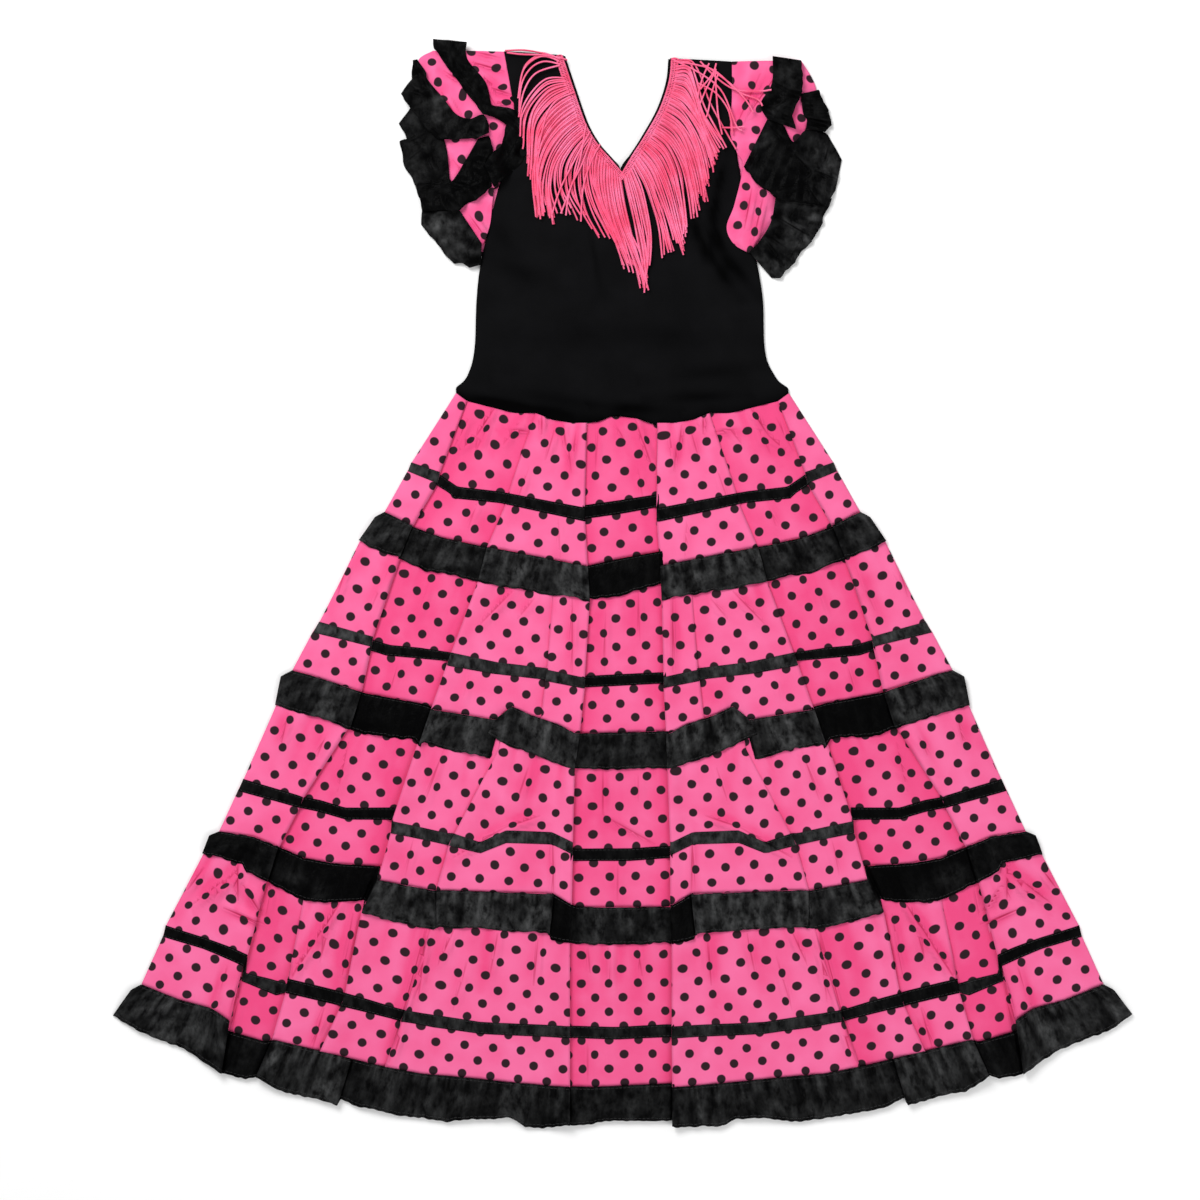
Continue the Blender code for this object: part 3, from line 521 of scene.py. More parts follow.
def cloth_mesh(name, grids, material, thickness):
    """Make one thin cloth piece from grids of (x, y, z, u, v, shade) in mm, faces up, wall downwards."""
    points, faces, uvs, shades, nears, depths = [], [], [], [], [], []
    start = 0
    for x, y, z, u, v, shade, *crease in grids:
        rows, columns = x.shape
        points.append(np.stack([x, y, z], axis=-1).reshape(-1, 3) * MM)
        uvs.append(np.stack([u, v], axis=-1).reshape(-1, 2))
        shades.append(shade.reshape(-1))
        near, depth = crease or (np.full_like(x, 5.0), np.zeros_like(x))
        nears.append(near.reshape(-1))
        depths.append(depth.reshape(-1))
        index = np.arange(rows * columns).reshape(rows, columns) + start
        quads = np.stack([index[:-1, :-1], index[1:, :-1], index[1:, 1:], index[:-1, 1:]], axis=-1)
        middle_row, middle_column = rows // 2, columns // 2
        origin = points[-1][index[middle_row, middle_column] - start]
        a = points[-1][index[min(middle_row + 1, rows - 1), middle_column] - start] - origin
        b = points[-1][index[middle_row, middle_column - 1] - start] - origin
        if np.cross(a, -b)[2] < 0:
            quads = quads[..., ::-1]
        faces.append(quads.reshape(-1, 4))
        start += rows * columns
    points, faces = np.concatenate(points), np.concatenate(faces)
    uvs, shades = np.concatenate(uvs), np.concatenate(shades)
    mesh = bpy.data.meshes.new(name)
    mesh.from_pydata(points.tolist(), [], faces.tolist())
    layer = mesh.uv_layers.new(name="cut")
    corner = np.zeros(len(mesh.loops), dtype=np.int32)
    mesh.loops.foreach_get("vertex_index", corner)
    layer.data.foreach_set("uv", uvs[corner].astype(np.float32).ravel())
    # Each grid's shade is stored per point as painted shade, which the materials mix into the colour; on
    # satin it is the lack of painted sheen.
    for key, values in (("painted_shade", np.clip(shades, 0, 1)), ("crease", np.concatenate(nears)),
                        ("crease_depth", np.concatenate(depths))):
        attribute = mesh.attributes.new(key, "FLOAT", "POINT")
        attribute.data.foreach_set("value", values.astype(np.float32))
    mesh.materials.append(material)
    mesh.shade_smooth()
    obj = bpy.data.objects.new(name, mesh)
    bpy.context.scene.collection.objects.link(obj)
    if thickness:
        wall = obj.modifiers.new("wall", "SOLIDIFY")
        wall.thickness = thickness * MM
        wall.offset = -1.0
    return obj


class Nodes:
    """A short way to write a material's nodes and links."""

    def __init__(self, name):
        self.material = bpy.data.materials.new(name)
        self.material.use_nodes = True
        self.tree = self.material.node_tree
        self.shader = self.tree.nodes["Principled BSDF"]

    def add(self, kind, inputs=None, **settings):
        node = self.tree.nodes.new(kind)
        for key, value in settings.items():
            setattr(node, key, value)
        for key, value in (inputs or {}).items():
            if hasattr(value, "is_output"):
                self.tree.links.new(value, node.inputs[key])
            else:
                node.inputs[key].default_value = value
        return node

    def math(self, operation, a, b=0.0, c=0.0):
        return self.add("ShaderNodeMath", {0: a, 1: b, 2: c}, operation=operation).outputs[0]

    def band(self, value, low, high, first=0.0, last=1.0):
        return self.add("ShaderNodeMapRange", {0: value, 1: low, 2: high, 3: first, 4: last}).outputs[0]

    def mix(self, share, first, last):
        node = self.add("ShaderNodeMix", {0: share, 6: first, 7: last}, data_type="RGBA")
        return node.outputs[2]

    def noise(self, vector, scale, detail=3.0, rough=0.5):
        return self.add("ShaderNodeTexNoise", {"Vector": vector, "Scale": scale, "Detail": detail,
                                               "Roughness": rough}).outputs["Fac"]

    def attribute(self, name):
        return self.add("ShaderNodeAttribute", attribute_name=name).outputs["Fac"]

    def crease(self):
        """Return the painted shade line along a pressed crease, and its height for a bump."""
        reach = self.math("ABSOLUTE", self.attribute("crease"))
        depth = self.attribute("crease_depth")
        line = self.math("MULTIPLY", self.band(reach, 0.3, 1.1, 1.0, 0.0), depth)
        return line, self.math("MULTIPLY", self.math("MINIMUM", reach, 2.5), depth)

    def bump(self, height, strength, distance, below=None):
        inputs = {"Height": height, "Strength": strength, "Distance": distance}
        if below is not None:
            inputs["Normal"] = below
        return self.add("ShaderNodeBump", inputs).outputs["Normal"]

    def finish(self, color, rough, normal):
        for key, value in (("Base Color", color), ("Roughness", rough), ("Normal", normal)):
            if hasattr(value, "is_output"):
                self.tree.links.new(value, self.shader.inputs[key])
            else:
                self.shader.inputs[key].default_value = value
        return self.material


def dotted_cotton(name):
    """Pink plain-weave cotton with a staggered print of dark brown spots; the pink is painted deeper where
    shade lies in its folds and along its pressed creases, and varies a little at random.
    """
    pitch = 18.1
    spot = 3.95
    n = Nodes(name)
    cut = n.add("ShaderNodeTexCoord").outputs["UV"]
    place = n.add("ShaderNodeTexCoord").outputs["Object"]
    wobble = n.add("ShaderNodeTexNoise", {"Vector": cut, "Scale": 0.25, "Detail": 1.0}).outputs["Color"]
    shifted = n.add("ShaderNodeVectorMath", {0: wobble, 1: (0.5, 0.5, 0.5)}, operation="SUBTRACT")
    shifted = n.add("ShaderNodeVectorMath", {0: shifted.outputs[0], "Scale": 0.45}, operation="SCALE")
    shifted = n.add("ShaderNodeVectorMath", {0: cut, 1: shifted.outputs[0]}, operation="ADD")
    turned = n.add("ShaderNodeMapping", {0: shifted.outputs[0], "Rotation": (0, 0, math.radians(45)),
                                         "Scale": (1 / pitch, 1 / pitch, 0)})
    cell = n.add("ShaderNodeVectorMath", {0: turned.outputs[0]}, operation="FRACTION")
    middle = n.add("ShaderNodeVectorMath", {0: cell.outputs[0], 1: (0.5, 0.5, 0.0)}, operation="SUBTRACT")
    reach = n.add("ShaderNodeVectorMath", {0: middle.outputs[0]}, operation="LENGTH").outputs["Value"]
    ink = n.band(reach, (spot + 0.35) / pitch, (spot - 0.35) / pitch)
    line, groove = n.crease()
    cloud = n.noise(place, 26.0, 4.0)
    # Painted shade: the pink deepens where the mesh carries painted shade in its folds, mixed with a random
    # tone from the cloud noise.
    painted_fold_shade = n.math("MULTIPLY", n.attribute("painted_shade"), 0.9)
    deep = n.math("ADD", painted_fold_shade, n.band(cloud, 0.42, 0.70, 0.0, 0.30))
    pink = n.mix(deep, (0.875, 0.157, 0.360, 1), (0.80, 0.058, 0.205, 1))
    threads = n.noise(cut, 2.6, 2.0)
    pink = n.mix(n.band(threads, 0.35, 0.7, 0.0, 0.12), pink, (0.93, 0.24, 0.46, 1))
    # Painted shade: a thin dark pink line along each pressed crease.
    pink = n.mix(n.math("MULTIPLY", line, 0.75), pink, (0.50, 0.018, 0.085, 1))
    colour = n.mix(ink, pink, (0.024, 0.009, 0.014, 1))
    split = n.add("ShaderNodeSeparateXYZ", {0: cut})
    warp = n.math("SINE", n.math("MULTIPLY", split.outputs[0], 14.0))
    weft = n.math("SINE", n.math("MULTIPLY", split.outputs[1], 14.0))
    weave = n.math("MULTIPLY", warp, weft)
    rough = n.band(cloud, 0.2, 0.8, 0.72, 0.86)
    first = n.bump(groove, 0.6, 0.0006, n.bump(cloud, 0.25, 0.004))
    n.shader.inputs["Sheen Weight"].default_value = 0.04
    n.shader.inputs["Specular IOR Level"].default_value = 0.12
    return n.finish(colour, rough, n.bump(weave, 0.12, 0.0002, first))


def black_satin(name):
    """Black polyester satin: smooth near-black face with a soft grey sheen painted into its colour in
    patches, broken up by painted shade on its folds and small creases.
    """
    n = Nodes(name)
    cut = n.add("ShaderNodeTexCoord").outputs["UV"]
    fold = n.attribute("painted_shade")
    line, groove = n.crease()
    stretched = n.add("ShaderNodeMapping", {0: cut, "Scale": (0.13, 0.075, 1.0)}).outputs[0]
    small = n.noise(stretched, 1.0, 4.0, 0.62)
    patch = n.noise(cut, 0.045, 3.0, 0.6)
    # Painted sheen: grey patches from the noise, taken away where the mesh carries painted shade and along
    # each pressed crease.
    painted_sheen_patches = n.math("MULTIPLY", n.band(small, 0.37, 0.67, 0.10, 1.12), n.band(patch, 0.40, 0.60, 0.36, 1.06))
    light = n.math("MULTIPLY", painted_sheen_patches, n.math("SUBTRACT", 1.0, fold))
    light = n.math("MULTIPLY", light, n.math("SUBTRACT", 1.0, n.math("MULTIPLY", line, 0.8)))
    colour = n.mix(light, (0.0006, 0.0006, 0.0007, 1), (0.066, 0.067, 0.068, 1))
    rough = n.band(patch, 0.3, 0.7, 0.34, 0.52)
    threads = n.math("SINE", n.math("MULTIPLY", n.add("ShaderNodeSeparateXYZ", {0: cut}).outputs[1], 20.0))
    first = n.bump(groove, 0.5, 0.0006, n.bump(small, 0.7, 0.0030))
    n.shader.inputs["Specular IOR Level"].default_value = 0.022
    n.shader.inputs["Sheen Weight"].default_value = 0.0
    return n.finish(colour, rough, n.bump(threads, 0.05, 0.0001, first))


cotton = dotted_cotton("pink dotted cotton")
satin = black_satin("black satin")
FRONT_TOP = 3.75
COTTON_WALL = 0.45
tiers = {}
for number in range(1, 5):
    group = f"tier_{number}"
    levels = PLEATS[group][0]
    x, y, z, flap, shade, down, drop, hidden = pleated_grid(group, levels, 3.0, 3.0)
    u, v = cotton_uv(group, levels, x, y, flap)
    spread = fan(x)
    under = 0.0 if number == 1 else 26.0
    reach = 22.0 + 14.0 * uneven_wave(spread, 50 + number, (25, 90), 5)
    held = np.exp(-np.maximum(drop - under, 0) / np.maximum(reach, 7.0))
    held = held * (1.0 if number == 1 else np.clip(drop / 24.0, 0.15, 1))
    gather = uneven_wave(spread, 40 + number, (9, 30)) * held
    soft = uneven_wave(spread, 60 + number, (45, 120), 6)
    small = crumple(x, y, 65 + number, (22, 60))
    tucks, lit = gathers(spread, np.maximum(drop - under, 0) / 62.0, 70 + number, 26.0)
    bound = 1.0 if number == 1 else np.clip(drop / 24.0, 0.0, 1)
    z = z + FRONT_TOP + 1.3 * gather + 1.2 * tucks * bound + 0.5 * soft + 0.3 * small
    u = u + 1.6 * uneven_wave(spread, 45 + number, (12, 34)) * held + 0.6 * soft - 1.0 * lit * bound
    # Painted shade: darker in the hollows of the gathers, soft folds and crumples, and on the unlit side of
    # the small folds.
    shade = shade + np.clip(-0.9 * gather, 0, 1) + np.clip(-0.30 * soft, 0, 1) + np.clip(-0.22 * small, 0, 1)
    shade = shade + 0.55 * np.clip(-lit, 0, 1.3)
    bare = 1.0 if number == 1 else np.clip((drop - 20.0) / 12.0, 0, 1)
    grid = add_creases((x, y, z, u, v, shade), CREASES[group], bare=bare)
    piece = cloth_mesh(f"skirt_front_{number}", [grid], cotton, COTTON_WALL)
    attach(piece, "root")
    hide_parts(f"skirt_front_tier_{number}")
    tiers[number] = piece

# Ribbons: a plain black satin ribbon 9 to 10 mm wide, sewn flat on each tier along both its edges.
# The pleats of the tier cut and step it, and each stretch is painted with its own amount of sheen.
RIBBON_LIFT = 0.55
RIBBON_LAP = 2.0
RIBBON_EXTRA = 0.8
RIBBON_WALL = 0.3
LEAST_GAP = 0.12
# Painted sheen of each ribbon's stretches, from the left side to the middle panel.
RIBBON_PAINTED_SHEEN = {
    1: (0.60, 0.12, 0.10, 0.04), 2: (0.85, 0.10, 0.80, 0.70, 0.06), 3: (0.08, 0.04, 0.80, 0.90, 0.10),
    4: (0.04, 0.55, 0.08, 0.15, 0.45, 0.30),
}
ribbons = {}
ribbon_grids = {}


def painted_stretch_sheen(flap, values):
    """Return the painted sheen of each stretch of satin, from the left side to the middle panel."""
    both = list(values) + list(values[-2::-1])
    return np.array(both)[np.clip(np.round(flap).astype(int), 0, len(both) - 1)]


def surface_tree(piece):
    """Return the upper face of a piece, ready to be probed from above."""
    return BVHTree.FromPolygons([v.co for v in piece.data.vertices],
                                [tuple(p.vertices) for p in piece.data.polygons])


def height_over(trees, x, y):
    """Return the height in mm of the highest surface under one place, or 0 where there is none."""
    hits = [tree.ray_cast(Vector((x * MM, y * MM, 1.0)), Vector((0, 0, -1)))[0] for tree in trees]
    return max([hit.z / MM for hit in hits if hit is not None], default=0.0)


def rest_on(x, y, z, hidden, pieces, gap):
    """Return z raised where a piece would sink into the cloth it is sewn on, eased over its neighbours."""
    trees = [surface_tree(piece) for piece in pieces]
    lift = np.zeros_like(z)
    for index in np.ndindex(z.shape):
        clear = gap if hidden[index] < 0.5 else LEAST_GAP
        lift[index] = max(height_over(trees, x[index], y[index]) + clear - z[index], 0.0)
    for _ in range(3):
        padded = np.pad(lift, 1, mode="edge")
        around = (padded[:-2, 1:-1] + padded[2:, 1:-1] + padded[1:-1, :-2] + padded[1:-1, 2:]) / 4
        eased = np.maximum(lift, around)
        lift = np.where(hidden < 0.5, eased, lift)
    return z + lift


for number in range(1, 5):
    group = f"tier_{number}"
    levels = (f"ribbon_{number}_top", f"ribbon_{number}_low")
    x, y, z, flap, shade, down, drop, hidden = pleated_grid(group, levels, 3.0, 2.6, lap=RIBBON_LAP)
    u, v = cotton_uv(group, PLEATS[group][0], x, y, flap)
    across = np.abs(LINES[PLEATS[group][0][0]][0][0])
    spread = x / np.abs(x[:, :1]) * across
    soft = uneven_wave(spread, 60 + number, (45, 120), 6)
    small = crumple(x, y, 65 + number, (22, 60))
    y = y + RIBBON_EXTRA * (1 - 2 * down)
    z = z + FRONT_TOP + RIBBON_LIFT + 0.5 * soft + 0.3 * small
    x, y, z, u, v, shade, near, depth = add_creases((x, y, z, u, v, shade), CREASES[group])
    z = rest_on(x, y, z, hidden, [tiers[number]], RIBBON_WALL + LEAST_GAP)
    # Painted sheen by stretch, less where painted shade from pleats and creases lies; kept as its lack, the
    # painted shade.
    shade = 1 - painted_stretch_sheen(flap, RIBBON_PAINTED_SHEEN[number]) * (1 - 0.6 * np.clip(shade, 0, 1))
    grid = (x, y, z, u, v, shade, near, depth)
    ribbon_grids[number] = (x, y, z)
    piece = cloth_mesh(f"ribbon_front_{number}_satin", [grid], satin, RIBBON_WALL)
    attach(piece, "root")
    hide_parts(f"ribbon_front_{number}")
    ribbons[number] = piece

# Ruffles: a gathered satin strip sewn into each tier seam, the last one at the hem.
# It puffs out below the seam, and its hemmed lower edge waves.
RUFFLE_WALL = 0.4
RUFFLE_LIFT = 1.5
RUFFLE_LAP = 2.0
RUFFLE_SINK = 2.2
RUFFLE_CUT = 36.0
RUFFLE_FLARE = {1: 4.5, 2: 7.5, 3: 6.0, 4: 4.5}
# Painted sheen of each ruffle's stretches, from the left side to the middle panel.
RUFFLE_PAINTED_SHEEN = {
    1: (0.60, 0.75, 0.90, 0.08), 2: (0.62, 0.04, 0.90, 0.85, 0.62), 3: (0.10, 0.03, 0.80, 0.90, 0.06, 0.60),
    4: (0.65, 0.25, 0.62, 0.42, 0.44),
}
# Spots of extra painted sheen on the ruffles: x, y, radius and amount, in mm.
RUFFLE_PAINTED_SPOTS = {
    1: (), 2: ((-262.0, -108.0, 9.0, 0.4),), 3: ((-300.0, -268.0, 14.0, 0.5),
        (-270.0, -280.0, 8.0, 0.25)),
    4: ((-412.0, -392.0, 12.0, 0.4), (-310.0, -436.0, 10.0, 0.35), (-262.0, -448.0, 12.0, 0.4)),
}
ruffles = {}
ruffle_grids = {}
for number in range(1, 5):
    group = f"ruffle_{number}"
    levels = PLEATS[group][0]
    x, y, z, flap, shade, down, drop, hidden = pleated_grid(group, levels, 1.5, 1.9, RUFFLE_LAP, RUFFLE_SINK)
    spread = fan(x)
    fine = np.tanh(1.3 * uneven_wave(spread, 80 + number, (7, 16), 9))
    wide = uneven_wave(spread, 90 + number, (26, 60), 6)
    head = np.exp(-down / 0.22) * uneven_wave(spread, 85 + number, (3.5, 7), 7)
    puff = np.sin(np.pi * np.clip(down, 0, 1) ** 0.8)
    z = z + FRONT_TOP + RUFFLE_LIFT + 1.3 * puff
    tucks, lit = gathers(spread, down * 0.9, 75 + number, 13.0)
    z = z + 0.5 * fine * (0.9 - 0.45 * down) + 0.4 * head + 1.0 * wide * down + 1.1 * tucks
    y = y + down ** 3 * (1.0 * wide + 0.7 * fine)
    flare = np.minimum(down / 0.17, 1.0) * np.minimum(1.0, (1.02 - down) / 0.83)
    bulge = RUFFLE_FLARE[number] * flare * np.exp(-np.abs(np.abs(x) - np.abs(x[:, :1])) / 12.0)
    x = x + np.sign(x) * bulge
    if number == 4:
        z = z - 1.6 * down
    z = rest_on(x, y, z, hidden, [tiers[k] for k in (number, number + 1) if k in tiers], RUFFLE_WALL + 0.15)
    run = np.hypot(np.diff(x, axis=1, prepend=x[:, :1]), np.diff(y, axis=1, prepend=y[:, :1]))
    u = np.cumsum(run, axis=1).mean(axis=0)[None, :] + 0.0 * x
    # Painted sheen: by stretch and in spots, brighter on the crests and lit sides of the gathers, with
    # painted shade at the gathered head, near the pleats and in the hollows.
    light = painted_stretch_sheen(flap, RUFFLE_PAINTED_SHEEN[number])
    for x0, y0, radius, more in RUFFLE_PAINTED_SPOTS[number]:
        light = light + more * np.exp(-((-np.abs(x) - x0) ** 2 + (y - y0) ** 2) / radius ** 2)
    light = light * (1 - 0.8 * np.clip(shade, 0, 1)) * np.clip(0.80 + 0.25 * fine + 0.30 * wide, 0.1, 1.2)
    light = np.clip(light * np.clip(1.0 + 0.85 * lit - 0.95 * head, 0.05, 1.8), 0, 1)
    grid = (x, y, z, u, down * RUFFLE_CUT, 1 - light)
    ruffle_grids[number] = (x, y, z)
    piece = cloth_mesh(f"ruffle_front_{number}_satin", [grid], satin, RUFFLE_WALL)
    kind = "hem_ruffle" if number == 4 else "ruffle"
    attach(piece, "root")
    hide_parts(f"{kind}_front_{number}")
    ruffles[number] = piece

# Back of the skirt: the same tiers, ribbons and ruffles, sewn to the front along the sides.
# It lies plain and flat on the surface, without pleats.
BACK_COLUMNS = 150


def back_grid(levels, height, row_gap, overhang=0.0, inset=0.0):
    """Return a flat grid between lines of the back, smooth from side to side."""
    across = np.linspace(-1.0, 1.0, BACK_COLUMNS + 1)
    lines = []
    for index, level in enumerate(levels):
        points = LINES[level]
        half = abs(points[0][0]) - inset + (overhang if index else 0.0)
        side_y = points[0][1]
        centre_y = points[-1][1]
        x = across * half
        y = centre_y + (side_y - centre_y) * np.abs(across) ** 2.3
        lines.append((x, y))
    rows = []
    for (xa, ya), (xb, yb) in zip(lines, lines[1:]):
        count = max(int(round(np.mean(np.abs(ya - yb)) / row_gap)), 1)
        for step in range(count):
            rows.append((xa + (xb - xa) * step / count, ya + (yb - ya) * step / count))
    rows.append(lines[-1])
    x = np.array([r[0] for r in rows])
    y = np.array([r[1] for r in rows])
    return x, y, np.full_like(x, height)


BACK_TIER_TOP = 2.15
BACK_TIER_WALL = 0.6
BACK_TRIM_TOP = 0.9
for number in range(1, 5):
    levels = PLEATS[f"tier_{number}"][0]
    x, y, z = back_grid(levels, BACK_TIER_TOP, 9.0, inset=0.8)
    z = z + 0.25 * uneven_wave(x, 20 + number, (30, 80), 6)
    piece = cloth_mesh(f"skirt_back_{number}", [(x, y, z, x, y, np.zeros_like(x))], cotton, BACK_TIER_WALL)
    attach(piece, "root")
    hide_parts(f"skirt_back_tier_{number}")
    tiers[-number] = piece
    levels = (f"ribbon_{number}_top", f"ribbon_{number}_low")
    x, y, z = back_grid(levels, BACK_TRIM_TOP, 3.0, inset=1.0)
    # The back ribbon gets an even half of the satin's painted sheen.
    piece = cloth_mesh(f"ribbon_back_{number}_satin", [(x, y, z, x, y, np.full_like(x, 0.5))], satin, 0.4)
    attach(piece, "root")
    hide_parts(f"ribbon_back_{number}")
    ribbons[-number] = piece
    levels = PLEATS[f"ruffle_{number}"][0]
    x, y, z = back_grid(levels, BACK_TRIM_TOP, 4.0, inset=1.0)
    rest = np.linspace(0, 1, x.shape[0])[:, None]
    y = y + rest ** 3 * 1.5 * uneven_wave(x, 30 + number, (20, 50), 6)
    # Painted sheen and painted shade in narrow stripes across the back ruffle; the cloth itself lies flat.
    shade = np.clip(0.5 - 0.4 * uneven_wave(x, 35 + number, (8, 14), 9), 0, 1)
    kind = "hem_ruffle" if number == 4 else "ruffle"
    grid = (x, y, z, x, rest * RUFFLE_CUT + 0 * x, shade)
    piece = cloth_mesh(f"{kind}_back_{number}_satin", [grid], satin, 0.85)
    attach(piece, "root")
    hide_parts(f"{kind}_back_{number}")
    ruffles[-number] = piece

# Bodice: black cotton jersey, front and back, sleeveless body with a deep V neck, sewn to the skirt.
# Rows from the waist seam up: left side, left and right edge of the neck, right side, in mm.
BODICE_ROWS = (
    ((-150.0, 170.8), (0.0, 150.0), (0.0, 150.0), (149.6, 171.4)),
    ((-149.0, 176.0), (0.0, 158.0), (0.0, 158.0), (148.0, 176.5)),
    ((-139.5, 192.0), (0.0, 178.0), (0.0, 178.0), (137.0, 192.0)),
    ((-133.3, 211.0), (0.0, 200.0), (0.0, 200.0), (128.3, 209.3)),
    ((-131.5, 254.0), (-1.0, 250.0), (-1.0, 250.0), (126.5, 254.0)),
    ((-127.4, 289.0), (-1.5, 292.0), (-1.5, 292.0), (121.0, 288.5)),
    ((-114.8, 344.0), (-2.0, 340.0), (-2.0, 340.0), (110.3, 344.0)),
    ((-103.0, 386.0), (-2.0, 371.3), (-2.0, 371.3), (103.1, 386.0)),
    ((-103.2, 398.0), (-10.5, 382.2), (9.0, 386.6), (102.0, 397.0)),
    ((-103.5, 408.0), (-21.4, 394.7), (18.6, 401.6), (101.0, 406.0)),
    ((-104.0, 431.0), (-32.2, 413.3), (32.4, 426.3), (99.5, 428.0)),
    ((-105.2, 455.0), (-43.1, 444.2), (40.7, 451.2), (99.0, 450.0)),
    ((-106.7, 478.4), (-53.2, 474.5), (42.9, 471.8), (98.6, 469.1)),
)
BODICE_FOLDS = (
    (-137.0, 172.0, -80.0, 160.5, 7, 1.7), (-80.0, 160.5, -40.0, 155.0, 7, 1.5),
    (-12.0, 164.0, 36.0, 160.5, 6, 1.3), (36.0, 160.5, 100.0, 163.0, 6, 1.2),
    (-96.0, 178.0, -18.0, 164.0, 7, 0.9), (40.0, 178.0, 120.0, 186.0, 8, 0.9),
    (97.0, 378.0, 89.6, 348.8, 5, 1.5), (90.0, 352.0, 86.0, 320.0, 5, 1.8),
        (86.0, 324.0, 95.0, 298.0, 5, 1.9),
    (95.0, 300.0, 118.0, 272.0, 6, 1.7), (68.0, 332.0, 74.0, 307.0, 5, 1.5),
        (74.0, 309.0, 88.0, 289.0, 5, 1.6),
    (88.0, 290.0, 104.0, 268.0, 6, 1.4), (-27.0, 322.0, -17.0, 262.0, 3, 0.8),
    (-120.0, 300.0, -70.0, 276.0, 8, 0.7), (-100.0, 205.0, 20.0, 212.0, 13, 0.6),
    (-2.0, 236.0, 90.0, 226.0, 12, 0.5), (-112.0, 330.0, -92.0, 300.0, 8, 0.7),
)


def spline(values, places):
    """Return a smooth curve through values at whole places, read at any place."""
    values = np.array(values, float)
    low = np.clip(np.floor(places).astype(int), 0, len(values) - 2)
    t = (places - low)[:, None]
    before = values[np.clip(low - 1, 0, None)]
    start, end = values[low], values[low + 1]
    after = values[np.clip(low + 2, None, len(values) - 1)]
    return 0.5 * (2 * start + (end - before) * t + (2 * before - 5 * start + 4 * end - after) * t ** 2
                  + (3 * start - before - 3 * end + after) * t ** 3)


def black_jersey(name):
    """Black cotton jersey: a fine flat knit with a dull face, painted nearly black where shade lies in its
    folds and at the waist.
    """
    n = Nodes(name)
    cut = n.add("ShaderNodeTexCoord").outputs["UV"]
    cloud = n.noise(cut, 0.03, 4.0)
    split = n.add("ShaderNodeSeparateXYZ", {0: cut})
    wales = n.math("SINE", n.math("MULTIPLY", split.outputs[0], 7.5))
    lean = n.math("MULTIPLY", n.math("ABSOLUTE", wales), 2.2)
    courses = n.math("SINE", n.math("ADD", n.math("MULTIPLY", split.outputs[1], 9.0), lean))
    knit = n.math("MULTIPLY_ADD", courses, 0.5, n.math("ABSOLUTE", wales))
    lint = n.noise(cut, 0.9, 2.0)
    colour = n.mix(n.band(cloud, 0.35, 0.7), (0.0034, 0.0034, 0.0038, 1), (0.0052, 0.0052, 0.0058, 1))
    colour = n.mix(n.band(lint, 0.66, 0.8, 0.0, 0.25), colour, (0.012, 0.012, 0.013, 1))
    # Painted shade: nearly black where the mesh carries painted shade in its folds.
    colour = n.mix(n.attribute("painted_shade"), colour, (0.0004, 0.0004, 0.0005, 1))
    first = n.bump(cloud, 0.3, 0.004)
    n.shader.inputs["Specular IOR Level"].default_value = 0.03
    n.shader.inputs["Sheen Weight"].default_value = 0.0
    return n.finish(colour, n.band(cloud, 0.3, 0.7, 0.78, 0.9), n.bump(knit, 0.25, 0.0003, first))


jersey = black_jersey("black jersey")


def bodice_grids(top, crown, inset, folds):
    """Return the two halves of one bodice layer, met along the middle below the neck."""
    count = 84
    places = np.linspace(0, len(BODICE_ROWS) - 1, count + 1)
    grids = []
    for half in (0, 1):
        side = spline([row[3 * half] for row in BODICE_ROWS], places)
        neck = spline([row[1 + half] for row in BODICE_ROWS], places)
        open_rows = places >= 7.0
        neck[~open_rows, 0] = spline([row[1] for row in BODICE_ROWS], places)[~open_rows, 0]
        neck[open_rows, 0] += (inset if half == 0 else -inset) * np.clip(places[open_rows] - 7.0, 0, 1)
        share = np.linspace(0, 1, 41)
        first, last = (side, neck) if half == 0 else (neck, side)
        x = first[:, :1] + (last[:, :1] - first[:, :1]) * share
        y = first[:, 1:] + (last[:, 1:] - first[:, 1:]) * share
        near = np.clip(1 - places / 3.0, 0, 1)[:, None]
        waist = line_height("waist", np.clip(x, -149.9, 149.9)) + 0.4
        y = y * (1 - near) + (waist + places[:, None] * 6.5) * near
        out = np.abs(x - neck[:, :1]) / np.maximum(np.abs(side[:, :1] - neck[:, :1]), 1)
        z = top + crown * np.sqrt(np.clip(1 - out ** 2.6, 0, 1))
        shade = np.zeros_like(x)
        if folds:
            z = z + 1.1 * np.exp(-((places - 0.9) / 0.55) ** 2)[:, None] * (1 - out ** 4)
            z = z + 0.25 * uneven_wave(x + 0.4 * y, 12, (50, 120), 5)
            # Painted shade: darkest at the waist seam and fading upwards; the creases below add painted
            # shade in their hollows.
            shade = shade + 0.8 * np.exp(-places / 0.8)[:, None]
            x, y, z, _, _, shade, near, depth = add_creases((x, y, z, x, y, shade), BODICE_FOLDS, False)
            grids.append((x, y, z, x, y, shade, near, 0.0 * depth))
        else:
            grids.append((x, y, z, x, y, shade))
    return grids


bodice_front = cloth_mesh("bodice_front_jersey", bodice_grids(2.9, 2.6, 0.0, True), jersey, 0.6)
bodice_back = cloth_mesh("bodice_back_jersey", bodice_grids(0.8, 0.0, 1.6, False), jersey, 0.8)
for piece, node in ((bodice_front, "bodice_front"), (bodice_back, "bodice_back")):
    weld = piece.modifiers.new("middle", "WELD")
    weld.merge_threshold = 0.00003
    piece.modifiers.move(1, 0)
    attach(piece, "root")
    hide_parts(node)

